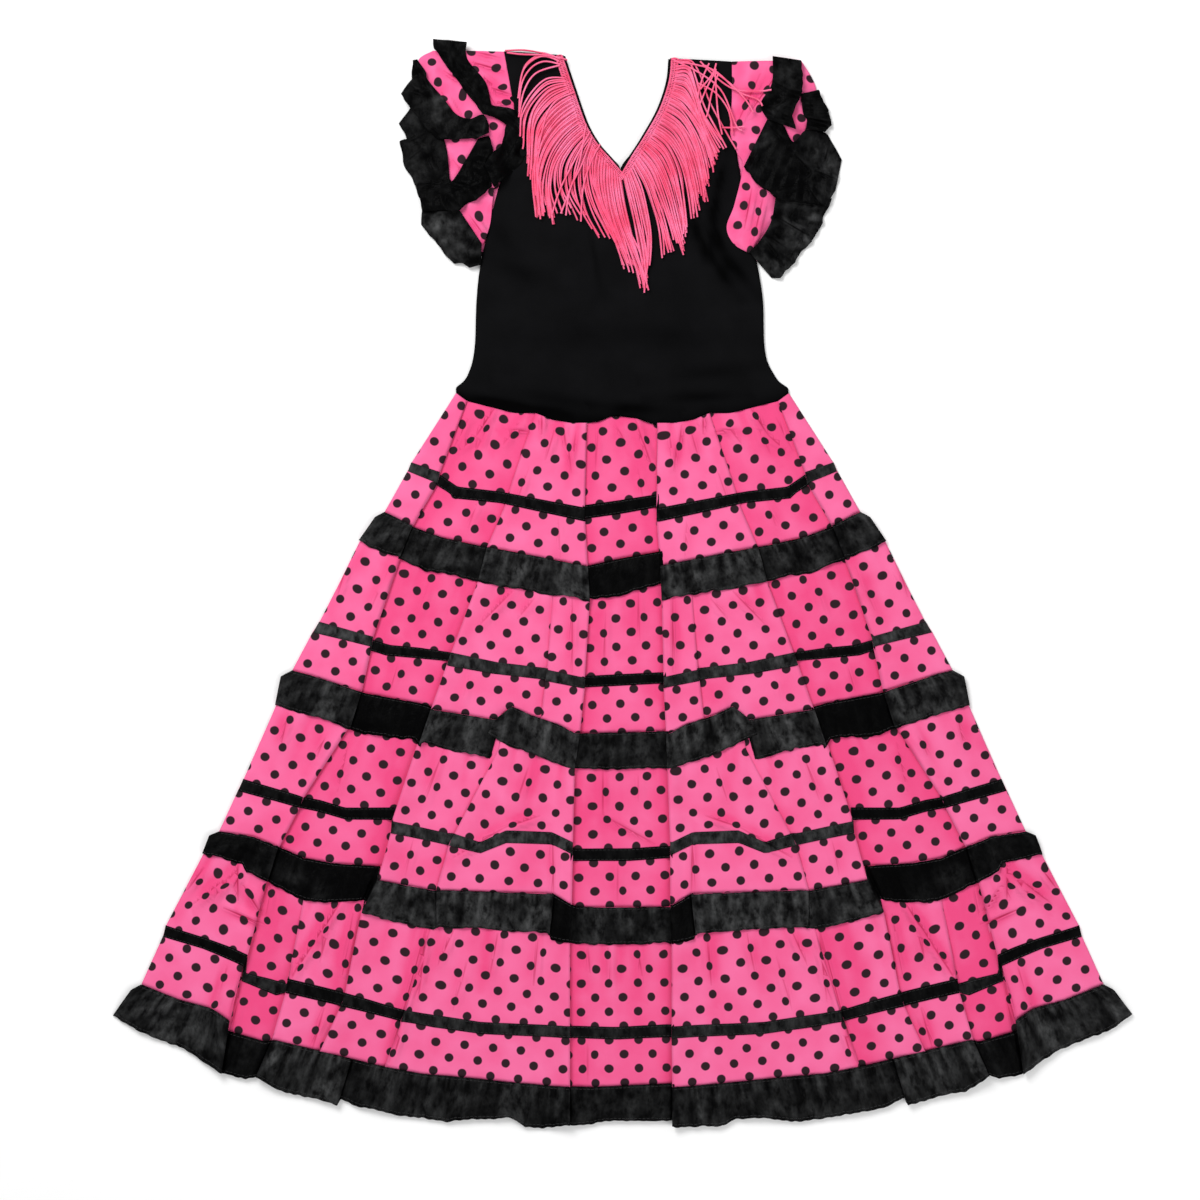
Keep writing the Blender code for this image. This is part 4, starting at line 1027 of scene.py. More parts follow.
# Sleeves: short puffed sleeves of the dotted cotton, with gathered satin ruffles across them and at
# the cuff. Both lie crumpled, so each has its own lines from shoulder to underarm, in mm.
SLEEVE_UNDER = {
    "left": (
        ((-107.5, 478.0), (-105.2, 434.0), (-104.6, 389.0), (-116.4, 344.0), (-128.6, 294.0)),
        ((-164.0, 480.0), (-184.0, 440.0), (-184.0, 405.0), (-178.0, 362.0), (-168.0, 322.0),
            (-146.0, 294.0)),
    ),
    "right": (
        ((99.6, 468.0), (100.6, 425.0), (104.2, 387.0), (111.6, 344.0), (122.0, 290.0)),
        ((158.0, 467.0), (173.5, 443.0), (175.0, 425.0), (177.0, 400.0), (181.0, 378.0), (179.0, 345.0),
         (165.0, 309.0), (142.0, 283.0)),
    ),
}
SLEEVE_TOP = {
    "left": (
        ((-106.7, 478.0), (-100.4, 443.0), (-97.7, 425.0), (-104.0, 411.0), (-108.0, 388.0),
         (-115.7, 353.0), (-119.3, 322.0), (-125.5, 304.7)),
        ((-170.5, 479.0), (-184.0, 470.0), (-177.0, 452.0), (-176.0, 420.0), (-172.0, 386.0),
         (-164.0, 354.0), (-155.0, 331.0), (-137.0, 308.0)),
    ),
    "right": (
        ((98.5, 469.1), (98.5, 436.5), (97.0, 405.5), (103.0, 387.0), (108.5, 375.0),
         (100.8, 340.6), (93.8, 320.0), (100.0, 304.8), (114.0, 296.3)),
        ((161.2, 469.8), (174.4, 444.2), (167.0, 416.0), (160.0, 389.0), (155.0, 362.0),
         (141.8, 344.0), (137.3, 330.0), (128.0, 312.8), (117.0, 299.0)),
    ),
}
SLEEVE_RUFFLES = {
    "left": (
        ("cuff_ruffle",
         ((-178.0, 448.0), (-166.0, 416.0), (-158.0, 389.0), (-155.0, 360.0), (-151.0, 342.0),
          (-144.0, 331.0), (-126.5, 304.7)),
         ((-200.0, 439.7), (-191.3, 427.1), (-201.2, 413.6), (-194.4, 398.0), (-200.7, 397.4),
          (-196.7, 374.9), (-186.5, 357.5), (-180.3, 334.4), (-181.8, 321.8), (-167.1, 304.7),
          (-151.7, 286.2), (-143.8, 286.9), (-137.7, 283.1), (-127.4, 286.2))),
        ("ruffle_3",
         ((-130.0, 399.0), (-141.0, 380.0), (-154.5, 360.0), (-170.0, 358.0), (-185.0, 358.0)),
         ((-120.0, 402.0), (-115.6, 385.5), (-117.4, 356.0), (-132.7, 343.0), (-147.0, 334.5),
             (-179.5, 333.5))),
        ("ruffle_2",
         ((-185.0, 471.0), (-177.0, 459.5), (-175.0, 452.0), (-160.6, 435.0), (-150.0, 421.6),
          (-137.7, 417.0), (-125.5, 420.7), (-120.0, 411.7)),
         ((-190.0, 470.5), (-189.5, 453.5), (-200.0, 439.6), (-191.0, 428.0), (-181.0, 413.5),
          (-167.0, 397.8), (-130.0, 399.0), (-120.0, 403.6))),
        ("ruffle_1",
         ((-140.0, 486.0), (-139.5, 470.6), (-123.0, 449.6), (-115.6, 426.0), (-97.6, 425.3),
          (-82.4, 405.5), (-89.5, 380.0), (-115.6, 355.0)),
         ((-170.5, 489.5), (-169.6, 480.0), (-150.0, 453.0), (-125.5, 420.7), (-114.7, 418.0),
          (-104.0, 411.7), (-110.0, 392.8), (-124.6, 375.8))),
    ),
    "right": (
        ("cuff_ruffle",
         ((138.0, 349.0), (134.0, 326.0), (124.6, 309.0), (114.0, 297.0)),
         ((188.0, 346.0), (180.5, 323.5), (169.6, 306.5), (155.0, 288.5), (141.8, 274.1),
             (134.5, 274.1))),
        ("ruffle_3",
         ((130.0, 416.3), (143.6, 412.7), (153.5, 396.5), (165.0, 407.0), (182.0, 405.5), (189.0, 396.0),
          (197.6, 381.0)),
         ((108.5, 373.0), (121.0, 358.6), (139.0, 344.0), (159.7, 341.5), (182.0, 338.0),
             (192.0, 353.0))),
        ("ruffle_2",
         ((160.5, 439.7), (162.5, 422.5), (166.0, 416.0), (165.0, 408.6)),
         ((176.7, 443.5), (183.7, 428.9), (189.5, 411.7), (182.2, 405.5))),
        ("ruffle_1",
         ((135.0, 473.4), (134.1, 448.7), (124.0, 430.2), (130.0, 416.3)),
         ((161.2, 469.8), (162.5, 455.0), (160.5, 437.0), (152.6, 419.4), (155.8, 407.3))),
    ),
}
SLEEVE_FOLDS = {
    "left": ((-140.0, 472.0, -112.0, 430.0, 6, 1.2), (-160.0, 440.0, -140.0, 405.0, 5, 1.2),
             (-130.0, 460.0, -110.0, 445.0, 5, 0.9), (-150.0, 380.0, -125.0, 352.0, 6, 1.0),
             (-135.0, 330.0, -122.0, 312.0, 6, 1.0), (-137.0, 470.0, -108.0, 462.0, 4, 1.3),
             (-120.0, 447.0, -101.0, 441.0, 4, 1.2), (-114.0, 434.0, -99.0, 431.0, 3, 1.0),
             (-130.0, 478.0, -112.0, 474.0, 3, 0.9), (-158.0, 460.0, -146.0, 452.0, 3, 1.0)),
    "right": ((145.0, 462.0, 115.0, 420.0, 6, 1.2), (125.0, 455.0, 104.0, 410.0, 6, 1.0),
              (118.0, 352.0, 112.0, 320.0, 6, 1.2), (128.0, 345.0, 120.0, 310.0, 5, 1.0)),
}


def smooth_line(points, count):
    """Return evenly spread places on a smooth curve through points."""
    fine = spline(points, np.linspace(0, len(points) - 1, 40 * len(points)))
    lengths = np.concatenate([[0], np.cumsum(np.hypot(*np.diff(fine, axis=0).T))])
    target = np.linspace(0, lengths[-1], count + 1)
    return np.stack([np.interp(target, lengths, fine[:, k]) for k in (0, 1)], axis=-1)


def cornered_line(points, count):
    """Return evenly spread places along straight stretches, so that corners stay."""
    points = np.array(points, float)
    lengths = np.concatenate([[0], np.cumsum(np.hypot(*np.diff(points, axis=0).T))])
    target = np.linspace(0, lengths[-1], count + 1)
    return np.stack([np.interp(target, lengths, points[:, k]) for k in (0, 1)], axis=-1)


def strip_grid(inner, outer, columns, rows, cornered=False):
    """Return a plan grid between an inner and an outer line."""
    first = smooth_line(inner, columns)
    last = cornered_line(outer, columns) if cornered else smooth_line(outer, columns)
    share = np.linspace(0, 1, rows + 1)[:, None]
    x = first[:, 0] + (last[:, 0] - first[:, 0]) * share
    y = first[:, 1] + (last[:, 1] - first[:, 1]) * share
    return x, y


def solid_height(node, x, y, blur):
    """Return the top of a CAD solid under each plan place in mm, evened out over its neighbours."""
    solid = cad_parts[node]
    tree = surface_tree(solid)
    z = np.zeros_like(x)
    for index in np.ndindex(x.shape):
        place = Vector((x[index] * MM, y[index] * MM, 1.0))
        hit = tree.ray_cast(place, Vector((0, 0, -1)))[0]
        if hit is None:
            near = tree.find_nearest(Vector((place.x, place.y, 0.02)))[0]
            z[index] = near.z / MM
        else:
            z[index] = hit.z / MM
    for _ in range(blur):
        padded = np.pad(z, 1, mode="edge")
        z = (padded[:-2, 1:-1] + padded[2:, 1:-1] + padded[1:-1, :-2] + padded[1:-1, 2:] + 2 * z) / 6
    return z


def gather_uv(x, y):
    """Return coordinates in mm measured along and across a strip."""
    along = np.hypot(np.diff(x, axis=1, prepend=x[:, :1]), np.diff(y, axis=1, prepend=y[:, :1]))
    across = np.hypot(np.diff(x, axis=0, prepend=x[:1]), np.diff(y, axis=0, prepend=y[:1]))
    return np.cumsum(along, axis=1), np.cumsum(across, axis=0)


# Painted sheen of each sleeve ruffle: an even amount, and spots of extra at x, y, radius and amount, in mm.
SLEEVE_PAINTED_SHEEN = {
    "left": {
        "cuff_ruffle": (0.34, ((-158.0, 310.1, 19.0, 1.5), (-169.7, 320.9, 10.8, 0.68),
            (-184.1, 364.1, 9.0, 0.68), (-190.3, 409.9, 7.2, 0.54), (-189.5, 377.6, 7.2, 0.34),
            (-137.2, 292.1, 7.2, 0.34))),
        "ruffle_3": (0.08, ((-150.8, 350.6, 7.2, 0.12), (-173.2, 344.2, 7.2, 0.1))),
        "ruffle_2": (0.2, ((-166.1, 425.2, 13.5, 0.81), (-176.8, 436.1, 8.1, 0.41),
            (-127.4, 403.7, 7.2, 0.68), (-148.1, 406.4, 8.1, 0.34), (-186.8, 445.1, 6.3, 0.27))),
        "ruffle_1": (0.13, ((-92.2, 412.7, 6.3, 0.54), (-163.3, 485.6, 7.2, 0.34),
            (-137.2, 445.1, 7.2, 0.16), (-105.8, 422.6, 5.4, 0.27))),
    },
    "right": {
        "cuff_ruffle": (0.44, ((165.2, 322.7, 15.0, 1.2), (158.0, 301.9, 11.7, 1.05),
            (135.5, 288.4, 10.8, 1.05), (172.3, 337.9, 8.1, 0.88), (131.0, 303.8, 7.2, 0.53))),
        "ruffle_3": (0.16, ((127.4, 397.4, 9.0, 0.79), (145.3, 380.2, 9.0, 0.35),
            (185.0, 375.8, 14.5, 1.6), (188.6, 356.9, 11.0, 1.3), (170.6, 389.2, 10.0, 1.1),
            (177.8, 347.9, 6.3, 0.79), (159.8, 366.8, 7.2, 0.18))),
        "ruffle_2": (0.17, ((170.6, 429.8, 7.2, 0.61), (181.3, 411.8, 5.4, 0.35))),
        "ruffle_1": (0.25, ((150.8, 457.7, 9.0, 0.7), (137.2, 428.9, 7.2, 0.7),
            (147.2, 442.4, 7.2, 0.35))),
    },
}
SATIN_FOLDS = {
    "left": {
        "cuff_ruffle": ((-179.6, 331.7, -148.1, 336.2, 5, 1.1),
            (-185.8, 356.9, -164.2, 356.9, 5, 1.0), (-164.2, 356.9, -153.5, 362.2, 4, 0.9),
            (-179.6, 400.9, -189.5, 395.6, 4, 0.8), (-195.8, 375.8, -177.8, 389.2, 5, 0.8),
            (-137.2, 299.2, -130.1, 310.1, 4, 1.2), (-168.8, 371.2, -177.8, 389.2, 4, 0.9),
            (-153.5, 293.9, -144.5, 288.4, 4, 0.7)),
        "ruffle_3": ((-150.8, 348.8, -123.8, 362.2, 5, 1.0), (-155.2, 357.8, -132.8, 353.2, 4, 0.8),
            (-119.2, 389.2, -128.2, 371.2, 4, 0.8)),
        "ruffle_2": ((-191.2, 445.1, -173.2, 438.8, 5, 1.0), (-173.2, 411.8, -159.8, 400.1, 5, 0.9),
            (-177.8, 456.8, -171.5, 443.2, 4, 1.0), (-137.2, 405.4, -123.8, 396.4, 4, 0.8),
            (-184.1, 464.9, -178.7, 454.1, 4, 0.8)),
        "ruffle_1": ((-159.8, 479.2, -150.8, 456.8, 5, 1.0), (-146.2, 461.2, -130.1, 441.4, 5, 0.9),
            (-105.8, 425.2, -92.2, 416.2, 4, 1.0), (-99.5, 407.2, -110.2, 389.2, 5, 0.9),
            (-92.2, 398.2, -105.8, 375.8, 5, 0.9)),
    },
    "right": {
        "cuff_ruffle": ((139.1, 330.8, 170.6, 312.8, 5, 1.1), (146.2, 303.8, 132.8, 312.8, 4, 1.1),
            (159.8, 338.9, 150.8, 326.2, 4, 0.8), (131.0, 308.2, 140.0, 297.4, 4, 1.0),
            (150.8, 288.4, 159.8, 303.8, 5, 0.6)),
        "ruffle_3": ((150.8, 391.1, 173.2, 369.4, 5, 1.2), (173.2, 369.4, 165.2, 360.4, 4, 1.3),
            (165.2, 360.4, 181.3, 337.9, 5, 1.4), (173.2, 373.1, 194.0, 364.1, 5, 1.2),
            (123.8, 389.2, 116.5, 375.8, 4, 0.8), (134.6, 350.6, 159.8, 356.9, 4, 1.0),
            (186.8, 391.1, 183.2, 378.4, 4, 1.0), (131.0, 414.4, 150.8, 392.9, 4, 1.0)),
        "ruffle_2": ((167.0, 418.9, 186.8, 414.4, 4, 1.3), (170.6, 438.8, 170.6, 418.1, 4, 1.0)),
        "ruffle_1": ((134.6, 452.2, 150.8, 443.2, 4, 0.9), (137.2, 425.2, 150.8, 434.2, 4, 1.0),
            (141.8, 409.1, 132.8, 418.1, 4, 0.9)),
    },
}
sleeve_pieces = {}
strip_lengths = {}
for side in ("left", "right"):
    x, y = strip_grid(*SLEEVE_UNDER[side], 60, 48)
    tucked = np.exp(-np.linspace(0, 1, 49)[:, None] / 0.05) + 0.0 * x
    x = x + (5.0 if side == "left" else -5.0) * tucked
    grid = (x, y, 0.8 + 0.9 * tucked, x, y, np.zeros_like(x))
    piece = cloth_mesh(f"sleeve_{side}_under_cotton", [grid], cotton, 0.75)
    sleeve_pieces[f"sleeve_{side}_under"] = piece
    x, y = strip_grid(*SLEEVE_TOP[side], 110, 50)
    z = solid_height(f"sleeve_{side}_top", x, y, 12)
    tilt = math.radians(62 if side == "left" else 32)
    u = x * math.cos(tilt) + y * math.sin(tilt)
    v = -x * math.sin(tilt) + y * math.cos(tilt)
    folds = crumple(x, y, 7, (14, 40), 9)
    # Painted shade in the hollows of the crumples.
    shade = np.clip(-0.45 * folds, 0, 0.8)
    draw = 1.6 * uneven_wave(u, 9, (14, 36), 7)
    grid = add_creases((x, y, z + 0.9 * folds, u + draw, v + 0.8 * draw, shade), SLEEVE_FOLDS[side], False)
    piece = cloth_mesh(f"sleeve_{side}_top_cotton", [grid], cotton, 0.45)
    sleeve_pieces[f"sleeve_{side}_top"] = piece
    for name, inner, outer in SLEEVE_RUFFLES[side]:
        x, y = strip_grid(inner, outer, 150, 24, cornered=True)
        z = solid_height(f"sleeve_{side}_{name}", x, y, 5)
        u, v = gather_uv(x, y)
        share = np.linspace(0, 1, 25)[:, None]
        seed = len(name) + ord(name[-1]) + (0 if side == "left" else 50)
        fine = np.tanh(1.2 * uneven_wave(u, seed, (7, 15), 7))
        wide = uneven_wave(u, seed + 3, (20, 44), 5)
        folds = crumple(x, y, seed + 5, (12, 34), 9)
        head = np.exp(-share / 0.25)
        z = z + 0.3 + 0.3 * fine * head + 0.3 * wide * share + 1.3 * folds * (1 - 0.5 * head)
        reach = np.hypot(x[-1] - x[0], y[-1] - y[0]) + 0.01
        out = share ** 4 * (0.8 * wide + 0.3 * fine - 0.2)
        x = x + out * (x[-1] - x[0]) / reach
        y = y + out * (y[-1] - y[0]) / reach
        # Painted sheen: an even amount and spots, brighter on the crests of the folds, less where painted
        # shade from the creases lies.
        light, patches = SLEEVE_PAINTED_SHEEN[side][name]
        for x0, y0, wide_by, more in patches:
            light = light + more * np.exp(-((x - x0) ** 2 + (y - y0) ** 2) / wide_by ** 2)
        light = light * np.clip(0.75 + 0.45 * folds + 0.12 * wide + 0.15 * fine * head, 0.02, 1.4)
        pressed = add_creases((x, y, z, 0.8 * x, y, np.zeros_like(x)), SATIN_FOLDS[side][name], False)
        x, y, z, u, v, shade, near, depth = pressed
        z = np.maximum(z, 1.5)
        light = np.clip(light * (1 - 0.8 * np.clip(shade, 0, 1)), 0, 1)
        grid = (x, y, z, u, v, 1 - light, near, depth)
        piece = cloth_mesh(f"sleeve_{side}_{name}_satin", [grid], satin, 0.4)
        sleeve_pieces[f"sleeve_{side}_{name}"] = piece
        strip_lengths[piece.name] = float(np.mean(gather_uv(x, y)[0][:, -1])) * MM
for node, piece in sleeve_pieces.items():
    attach(piece, "root")
    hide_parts(node)

# Neck fringe: a crocheted header along the V and round the front of the shoulders, with long soft
# cords hanging from it. The cords spread outwards and lie on each other.
NECK = {
    "left": ((2.6, 367.2), (-10.5, 382.2), (-21.4, 394.7), (-32.2, 413.3), (-43.1, 444.2),
        (-53.2, 474.5)),
    "right": ((-3.2, 366.2), (9.0, 386.6), (18.6, 401.6), (32.4, 426.3), (40.7, 451.2), (42.9, 471.8)),
}
CORDS = 115
CORD_RADIUS = 0.85
CORD_ROOT = 5.6
HEADER_WIDTH = 6.5
HEADER_INSET = 1.1
HEADER_LOOPS = 84
HEADER_RADIUS = 0.5


def pink_cord(name):
    """Soft pink rayon cord, spun from fine threads, painted darker where it lies low under the other cords.
    """
    n = Nodes(name)
    place = n.add("ShaderNodeTexCoord").outputs["Object"]
    threads = n.noise(place, 900.0, 2.0)
    patch = n.noise(place, 45.0, 3.0)
    colour = n.mix(n.band(patch, 0.35, 0.65), (0.88, 0.070, 0.185, 1), (0.95, 0.205, 0.40, 1))
    # Painted shade: deep red where a cord lies low on the cloth, under the others.
    low = n.band(n.add("ShaderNodeSeparateXYZ", {0: place}).outputs[2], 0.0062, 0.0082, 0.55, 0.0)
    colour = n.mix(low, colour, (0.66, 0.030, 0.105, 1))
    colour = n.mix(n.band(threads, 0.45, 0.65, 0.0, 0.5), colour, (0.80, 0.04, 0.15, 1))
    n.shader.inputs["Sheen Weight"].default_value = 0.15
    return n.finish(colour, n.band(patch, 0.3, 0.7, 0.55, 0.7), n.bump(threads, 0.5, 0.0004))


cord_pink = pink_cord("pink cord")
bpy.context.view_layer.update()
graph = bpy.context.evaluated_depsgraph_get()
below = [BVHTree.FromObject(piece, graph) for piece in [bodice_front] + list(sleeve_pieces.values())]


def lying_height(x, y):
    """Return the height in mm of the highest cloth under a place."""
    top = 0.0
    for tree in below:
        hit = tree.ray_cast(Vector((x * MM, y * MM, 1.0)), Vector((0, 0, -1)))[0]
        if hit is not None:
            top = max(top, hit.z / MM)
    return top


def cord_tree(material):
    """A node tree that turns centre lines into round cords."""
    tree = bpy.data.node_groups.new("cords", "GeometryNodeTree")
    tree.interface.new_socket("Geometry", in_out="INPUT", socket_type="NodeSocketGeometry")
    radius = tree.interface.new_socket("Cord radius", in_out="INPUT", socket_type="NodeSocketFloat")
    tree.interface.new_socket("Geometry", in_out="OUTPUT", socket_type="NodeSocketGeometry")
    start = tree.nodes.new("NodeGroupInput")
    end = tree.nodes.new("NodeGroupOutput")
    to_curve = tree.nodes.new("GeometryNodeMeshToCurve")
    circle = tree.nodes.new("GeometryNodeCurvePrimitiveCircle")
    circle.inputs["Resolution"].default_value = 5
    sweep = tree.nodes.new("GeometryNodeCurveToMesh")
    sweep.inputs["Fill Caps"].default_value = True
    smooth = tree.nodes.new("GeometryNodeSetShadeSmooth")
    real = tree.nodes.new("GeometryNodeRealizeInstances")
    paint = tree.nodes.new("GeometryNodeSetMaterial")
    paint.inputs["Material"].default_value = material
    links = tree.links
    links.new(start.outputs["Geometry"], to_curve.inputs[0])
    links.new(start.outputs["Cord radius"], circle.inputs["Radius"])
    links.new(to_curve.outputs[0], sweep.inputs["Curve"])
    links.new(circle.outputs["Curve"], sweep.inputs["Profile Curve"])
    links.new(sweep.outputs[0], smooth.inputs["Geometry"])
    links.new(smooth.outputs[0], real.inputs[0])
    links.new(real.outputs[0], paint.inputs["Geometry"])
    links.new(paint.outputs[0], end.inputs[0])
    return tree, radius.identifier


def cords_from(name, paths, radius, material=cord_pink):
    """Turn centre lines in mm into one mesh of round cords."""
    points, edges = [], []
    for path in paths:
        first = len(points)
        points += [tuple(c * MM for c in p) for p in path]
        edges += [(first + k, first + k + 1) for k in range(len(path) - 1)]
    lines = bpy.data.meshes.new(name + "_lines")
    lines.from_pydata(points, edges, [])
    holder = bpy.data.objects.new(name + "_lines", lines)
    bpy.context.scene.collection.objects.link(holder)
    tree, radius_socket = cord_tree(material)
    maker = holder.modifiers.new("cords", "NODES")
    maker.node_group = tree
    maker[radius_socket] = radius * MM
    holder.update_tag()
    bpy.context.view_layer.update()
    made = bpy.data.meshes.new_from_object(holder.evaluated_get(bpy.context.evaluated_depsgraph_get()))
    bpy.data.objects.remove(holder)
    obj = bpy.data.objects.new(name, made)
    bpy.context.scene.collection.objects.link(obj)
    return obj


FALLS = {
    "left": (
        (0, ((-2.2, 371.2), (2.2, 344.2), (9.5, 317.2), (17.6, 292.1), (24.8, 266.9))),
        (0.1, ((-10.3, 380.2), (-8.6, 356.9), (-3.1, 330.8), (6.8, 303.8), (16.7, 275.9))),
        (0.2, ((-16.7, 388.4), (-18.4, 367.7), (-15.8, 342.4), (-8.6, 316.4), (1.4, 290.2))),
        (0.31, ((-25.7, 399.2), (-31.1, 382.1), (-31.1, 358.7), (-24.8, 333.4), (-14, 308.2))),
        (0.4, ((-31.1, 409.9), (-43.6, 393.8), (-53.6, 373.1), (-54.5, 348.8), (-45.5, 326.2))),
        (0.5, ((-35.6, 422.6), (-51.8, 406.4), (-64.4, 383.9), (-69.8, 356.9), (-68, 326.2))),
        (0.62, ((-41.9, 438.8), (-59, 422.6), (-73.4, 400.1), (-79.7, 373.1), (-75.2, 337.1))),
        (0.74, ((-46.4, 450.4), (-63.5, 437.9), (-77.9, 418.1), (-81.5, 395.6), (-83.2, 364.1))),
        (0.84, ((-49.1, 459.4), (-66.2, 455.9), (-80.5, 439.7), (-88.7, 421.7), (-86.9, 404.6))),
        (0.92, ((-51.8, 467.6), (-68.9, 468.4), (-83.2, 460.4), (-92.2, 445.1), (-94, 423.4))),
        (1, ((-53.6, 473.9), (-67, 477.4), (-79.7, 473.9), (-92.2, 463.1), (-99.5, 437.9))),
    ),
    "right": (
        (0, ((-1.4, 371.2), (5.9, 344.2), (14, 317.2), (21.2, 292.9), (25.7, 267.8))),
        (0.12, ((5.9, 382.1), (16.7, 360.4), (23.9, 337.1), (28.4, 315.4), (29.2, 292.1))),
        (0.22, ((12.2, 390.2), (24.8, 373.1), (34.6, 350.6), (43.6, 325.4), (52.6, 300.2))),
        (0.35, ((19.4, 402.8), (34.6, 389.2), (45.5, 367.7), (52.6, 341.6), (58.1, 311.9))),
        (0.5, ((26.6, 416.2), (42.8, 405.4), (55.4, 387.4), (63.5, 365.9), (68.9, 340.7))),
        (0.64, ((31.9, 428.9), (48.1, 419.9), (60.8, 403.7), (69.8, 382.9), (76, 356.9))),
        (0.76, ((37.4, 441.4), (51.8, 435.2), (64.4, 420.8), (75.2, 400.9), (84.2, 377.6))),
        (0.87, ((41, 454.9), (54.5, 455), (63.5, 438.8), (71.6, 413.6), (84.2, 387.5))),
        (0.94, ((42.8, 464.9), (57.2, 463.1), (66.2, 443.3), (75.2, 418.1), (95, 387.5))),
        (1, ((43.6, 472.1), (59, 471.2), (68, 457.7), (76.1, 430.7), (100.4, 383.9))),
    ),
}
STRAYS = (
    ((-20.2, 393.8), (-29.2, 375.8), (-35.6, 353.2), (-37.4, 324.4)),
    ((-29.2, 405.4), (-42.8, 380.2), (-56.2, 353.2), (-63.5, 330.8)),
    ((-32.9, 411.8), (-38.2, 380.2), (-45.5, 357.8), (-55.4, 331.7)),
    ((-27.4, 400.1), (-36.5, 375.8), (-47.2, 353.2), (-50.9, 329.9)),
    ((-42.8, 440.6), (-58.1, 434.2), (-67, 423.4), (-71.5, 409.1), (-76, 389.2)),
    ((-56.2, 464.9), (-77.9, 457.7), (-88.7, 441.4), (-93.2, 418.1)),
    ((-50, 470.2), (-69.8, 473.9), (-90.5, 474.8), (-104, 476.6)),
    ((-56.3, 470.7), (-71.1, 476.1), (-88.2, 479.3), (-105.8, 478.8)),
    ((44.6, 470.2), (69.8, 457.7), (89.5, 441.4), (102.2, 410.9), (107.5, 406.4)),
    ((69.8, 468.5), (84.2, 454.1), (101.3, 443.3), (121.9, 441.5), (133.6, 442.4)),
    ((74.3, 464.9), (96.8, 448.7), (110.3, 434.3), (117.5, 422.6)),
    ((46.4, 468.4), (80.6, 461.3), (104, 441.5), (121.1, 434.3), (125.6, 428)),
    ((68, 448.7), (83.3, 440.6), (94.1, 427.1), (97.7, 414.5), (98.6, 403.7)),
    ((89.6, 409.1), (101.3, 409.1), (109.4, 410)),
    ((86, 456.8), (80.6, 441.5), (77, 423.5), (75.2, 418.1)),
    ((84.2, 461.3), (75.2, 443.3), (69.8, 430.7)),
    ((69.8, 443.3), (80.6, 456.8), (84.2, 466.7)),
    ((83.3, 463.1), (84.2, 443.3), (86, 420.8), (89.6, 402.8)),
    ((77.9, 466.7), (71.6, 452.3), (67.1, 434.3)),
)


def fall_line(side, share):
    """Return the centre line that a cord follows, between the listed ones on both sides of it."""
    falls = FALLS[side]
    shares = [f[0] for f in falls]
    place = np.interp(share, shares, range(len(falls)))
    points = [spline([f[1][k] for f in falls], np.array([place]))[0] for k in range(5)]
    return spline(points, np.linspace(0, 4, 25))


def resting_line(plan, lift):
    """Return a centre line in mm lying on the cloth under it, eased over steps."""
    heights = np.array([lying_height(x, y) for x, y in plan]) + lift
    for _ in range(3):
        padded = np.pad(heights, 1, mode="edge")
        heights = np.maximum(heights, (padded[:-2] + padded[2:]) / 2)
    return [(p[0], p[1], h) for p, h in zip(plan, heights)]


